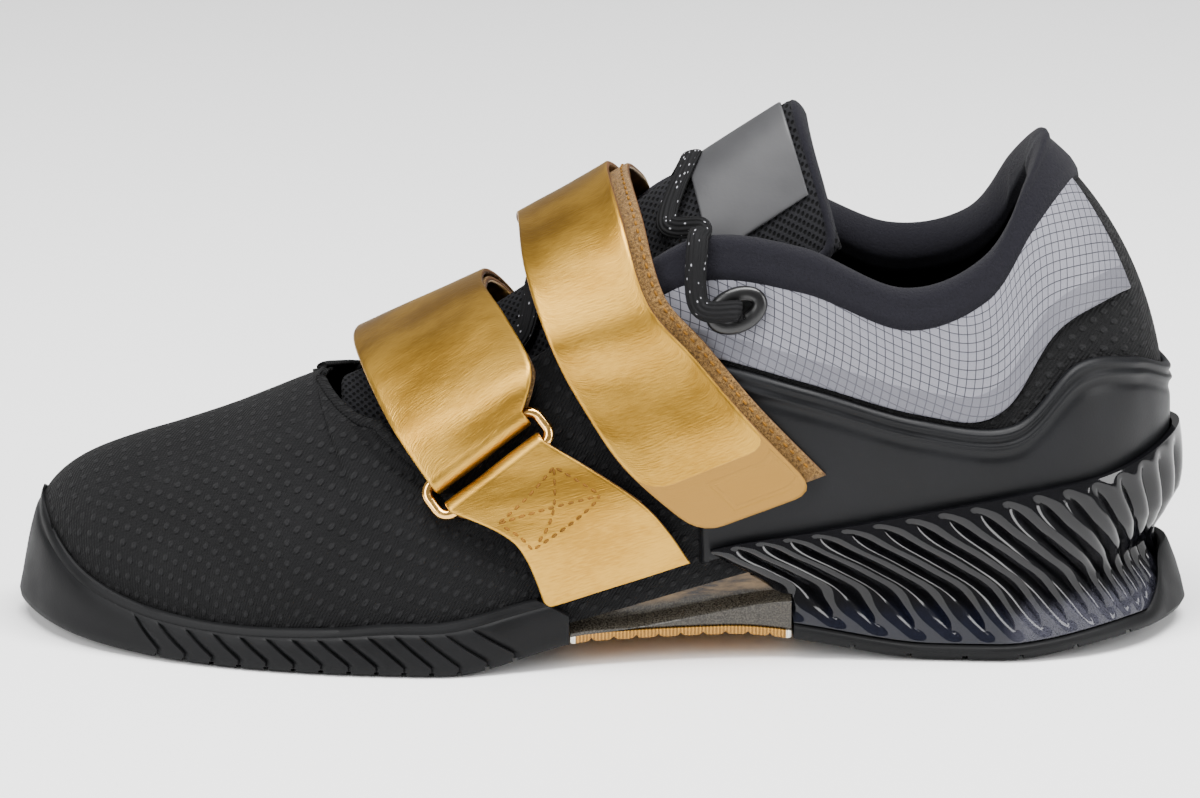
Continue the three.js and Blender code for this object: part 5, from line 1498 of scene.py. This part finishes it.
upper_points = eyelet_end(*eyelets[0]) + over_rim(rim_row)
upper_points += on_tongue(upper_route)
upper_points += over_rim(loop_rows - rim_row)[::-1] + eyelet_end(*eyelets[1])[::-1]
for name, points in (("lower", on_tongue(lower_route)), ("upper", upper_points)):
    obj, path = lace(f"flecked_lace_{name}", points, (f"lace_{name}",))
    put(obj, braid)
    length = float(np.linalg.norm(np.diff(path, axis=0), axis=1).sum())
    print("lace", name, "length mm", round(length, 1))

# Studio: a flat pale floor that reaches far behind the shoe, soft boxes over it and at both ends,
# and a long lens at the photo's angle.
lens_distance, pixels_per_mm, photo_width, film_width = 1300, 3.93, 1200, 36
lens_turn, lens_rise = math.radians(-1), math.radians(15)
target = np.array([-0.5, 0, 57.3]) + shift
level_back = np.array([math.sin(lens_turn), -math.cos(lens_turn)]) * math.cos(lens_rise)
back = np.array([*level_back, math.sin(lens_rise)])
place = Vector((target + back * lens_distance) * MM)
camera = bpy.data.cameras.new("camera")
camera.sensor_width = film_width
camera.lens = film_width * pixels_per_mm * lens_distance / photo_width
camera_object = bpy.data.objects.new("camera", camera)
camera_object.location = place
camera_object.rotation_euler = Vector(-back).to_track_quat("-Z", "Y").to_euler()
bpy.context.collection.objects.link(camera_object)
bpy.context.scene.camera = camera_object

bpy.ops.object.select_all(action="DESELECT")
bpy.ops.mesh.primitive_plane_add(size=12, location=(0, 3, -0.0002))
floor = bpy.context.object
floor.name = "floor"
put(floor, material("pale_floor", (0.93, 0.93, 0.93), 0.9))


def soft_box(name, place, aim, size, watts):
    lamp = bpy.data.lights.new(name, "AREA")
    lamp.shape = "RECTANGLE"
    lamp.size, lamp.size_y = size
    lamp.energy = watts
    lamp_object = bpy.data.objects.new(name, lamp)
    lamp_object.location = place
    lamp_object.rotation_euler = (Vector(aim) - Vector(place)).to_track_quat("-Z", "Y").to_euler()
    bpy.context.collection.objects.link(lamp_object)


soft_box("top_box", (0.1, -0.25, 1.4), (0, 0, 0.05), (1.5, 0.6), 62)
soft_box("front_box", (-1.1, -1.0, 0.7), (0, 0, 0.05), (0.6, 1.0), 24)
soft_box("heel_box", (1.3, -0.6, 0.6), (0.05, 0, 0.05), (0.4, 1.0), 16)
world = bpy.data.worlds.new("studio")
world.use_nodes = True
world.node_tree.nodes["Background"].inputs["Color"].default_value = (1, 1, 1, 1)
world.node_tree.nodes["Background"].inputs["Strength"].default_value = 0.42
bpy.context.scene.world = world
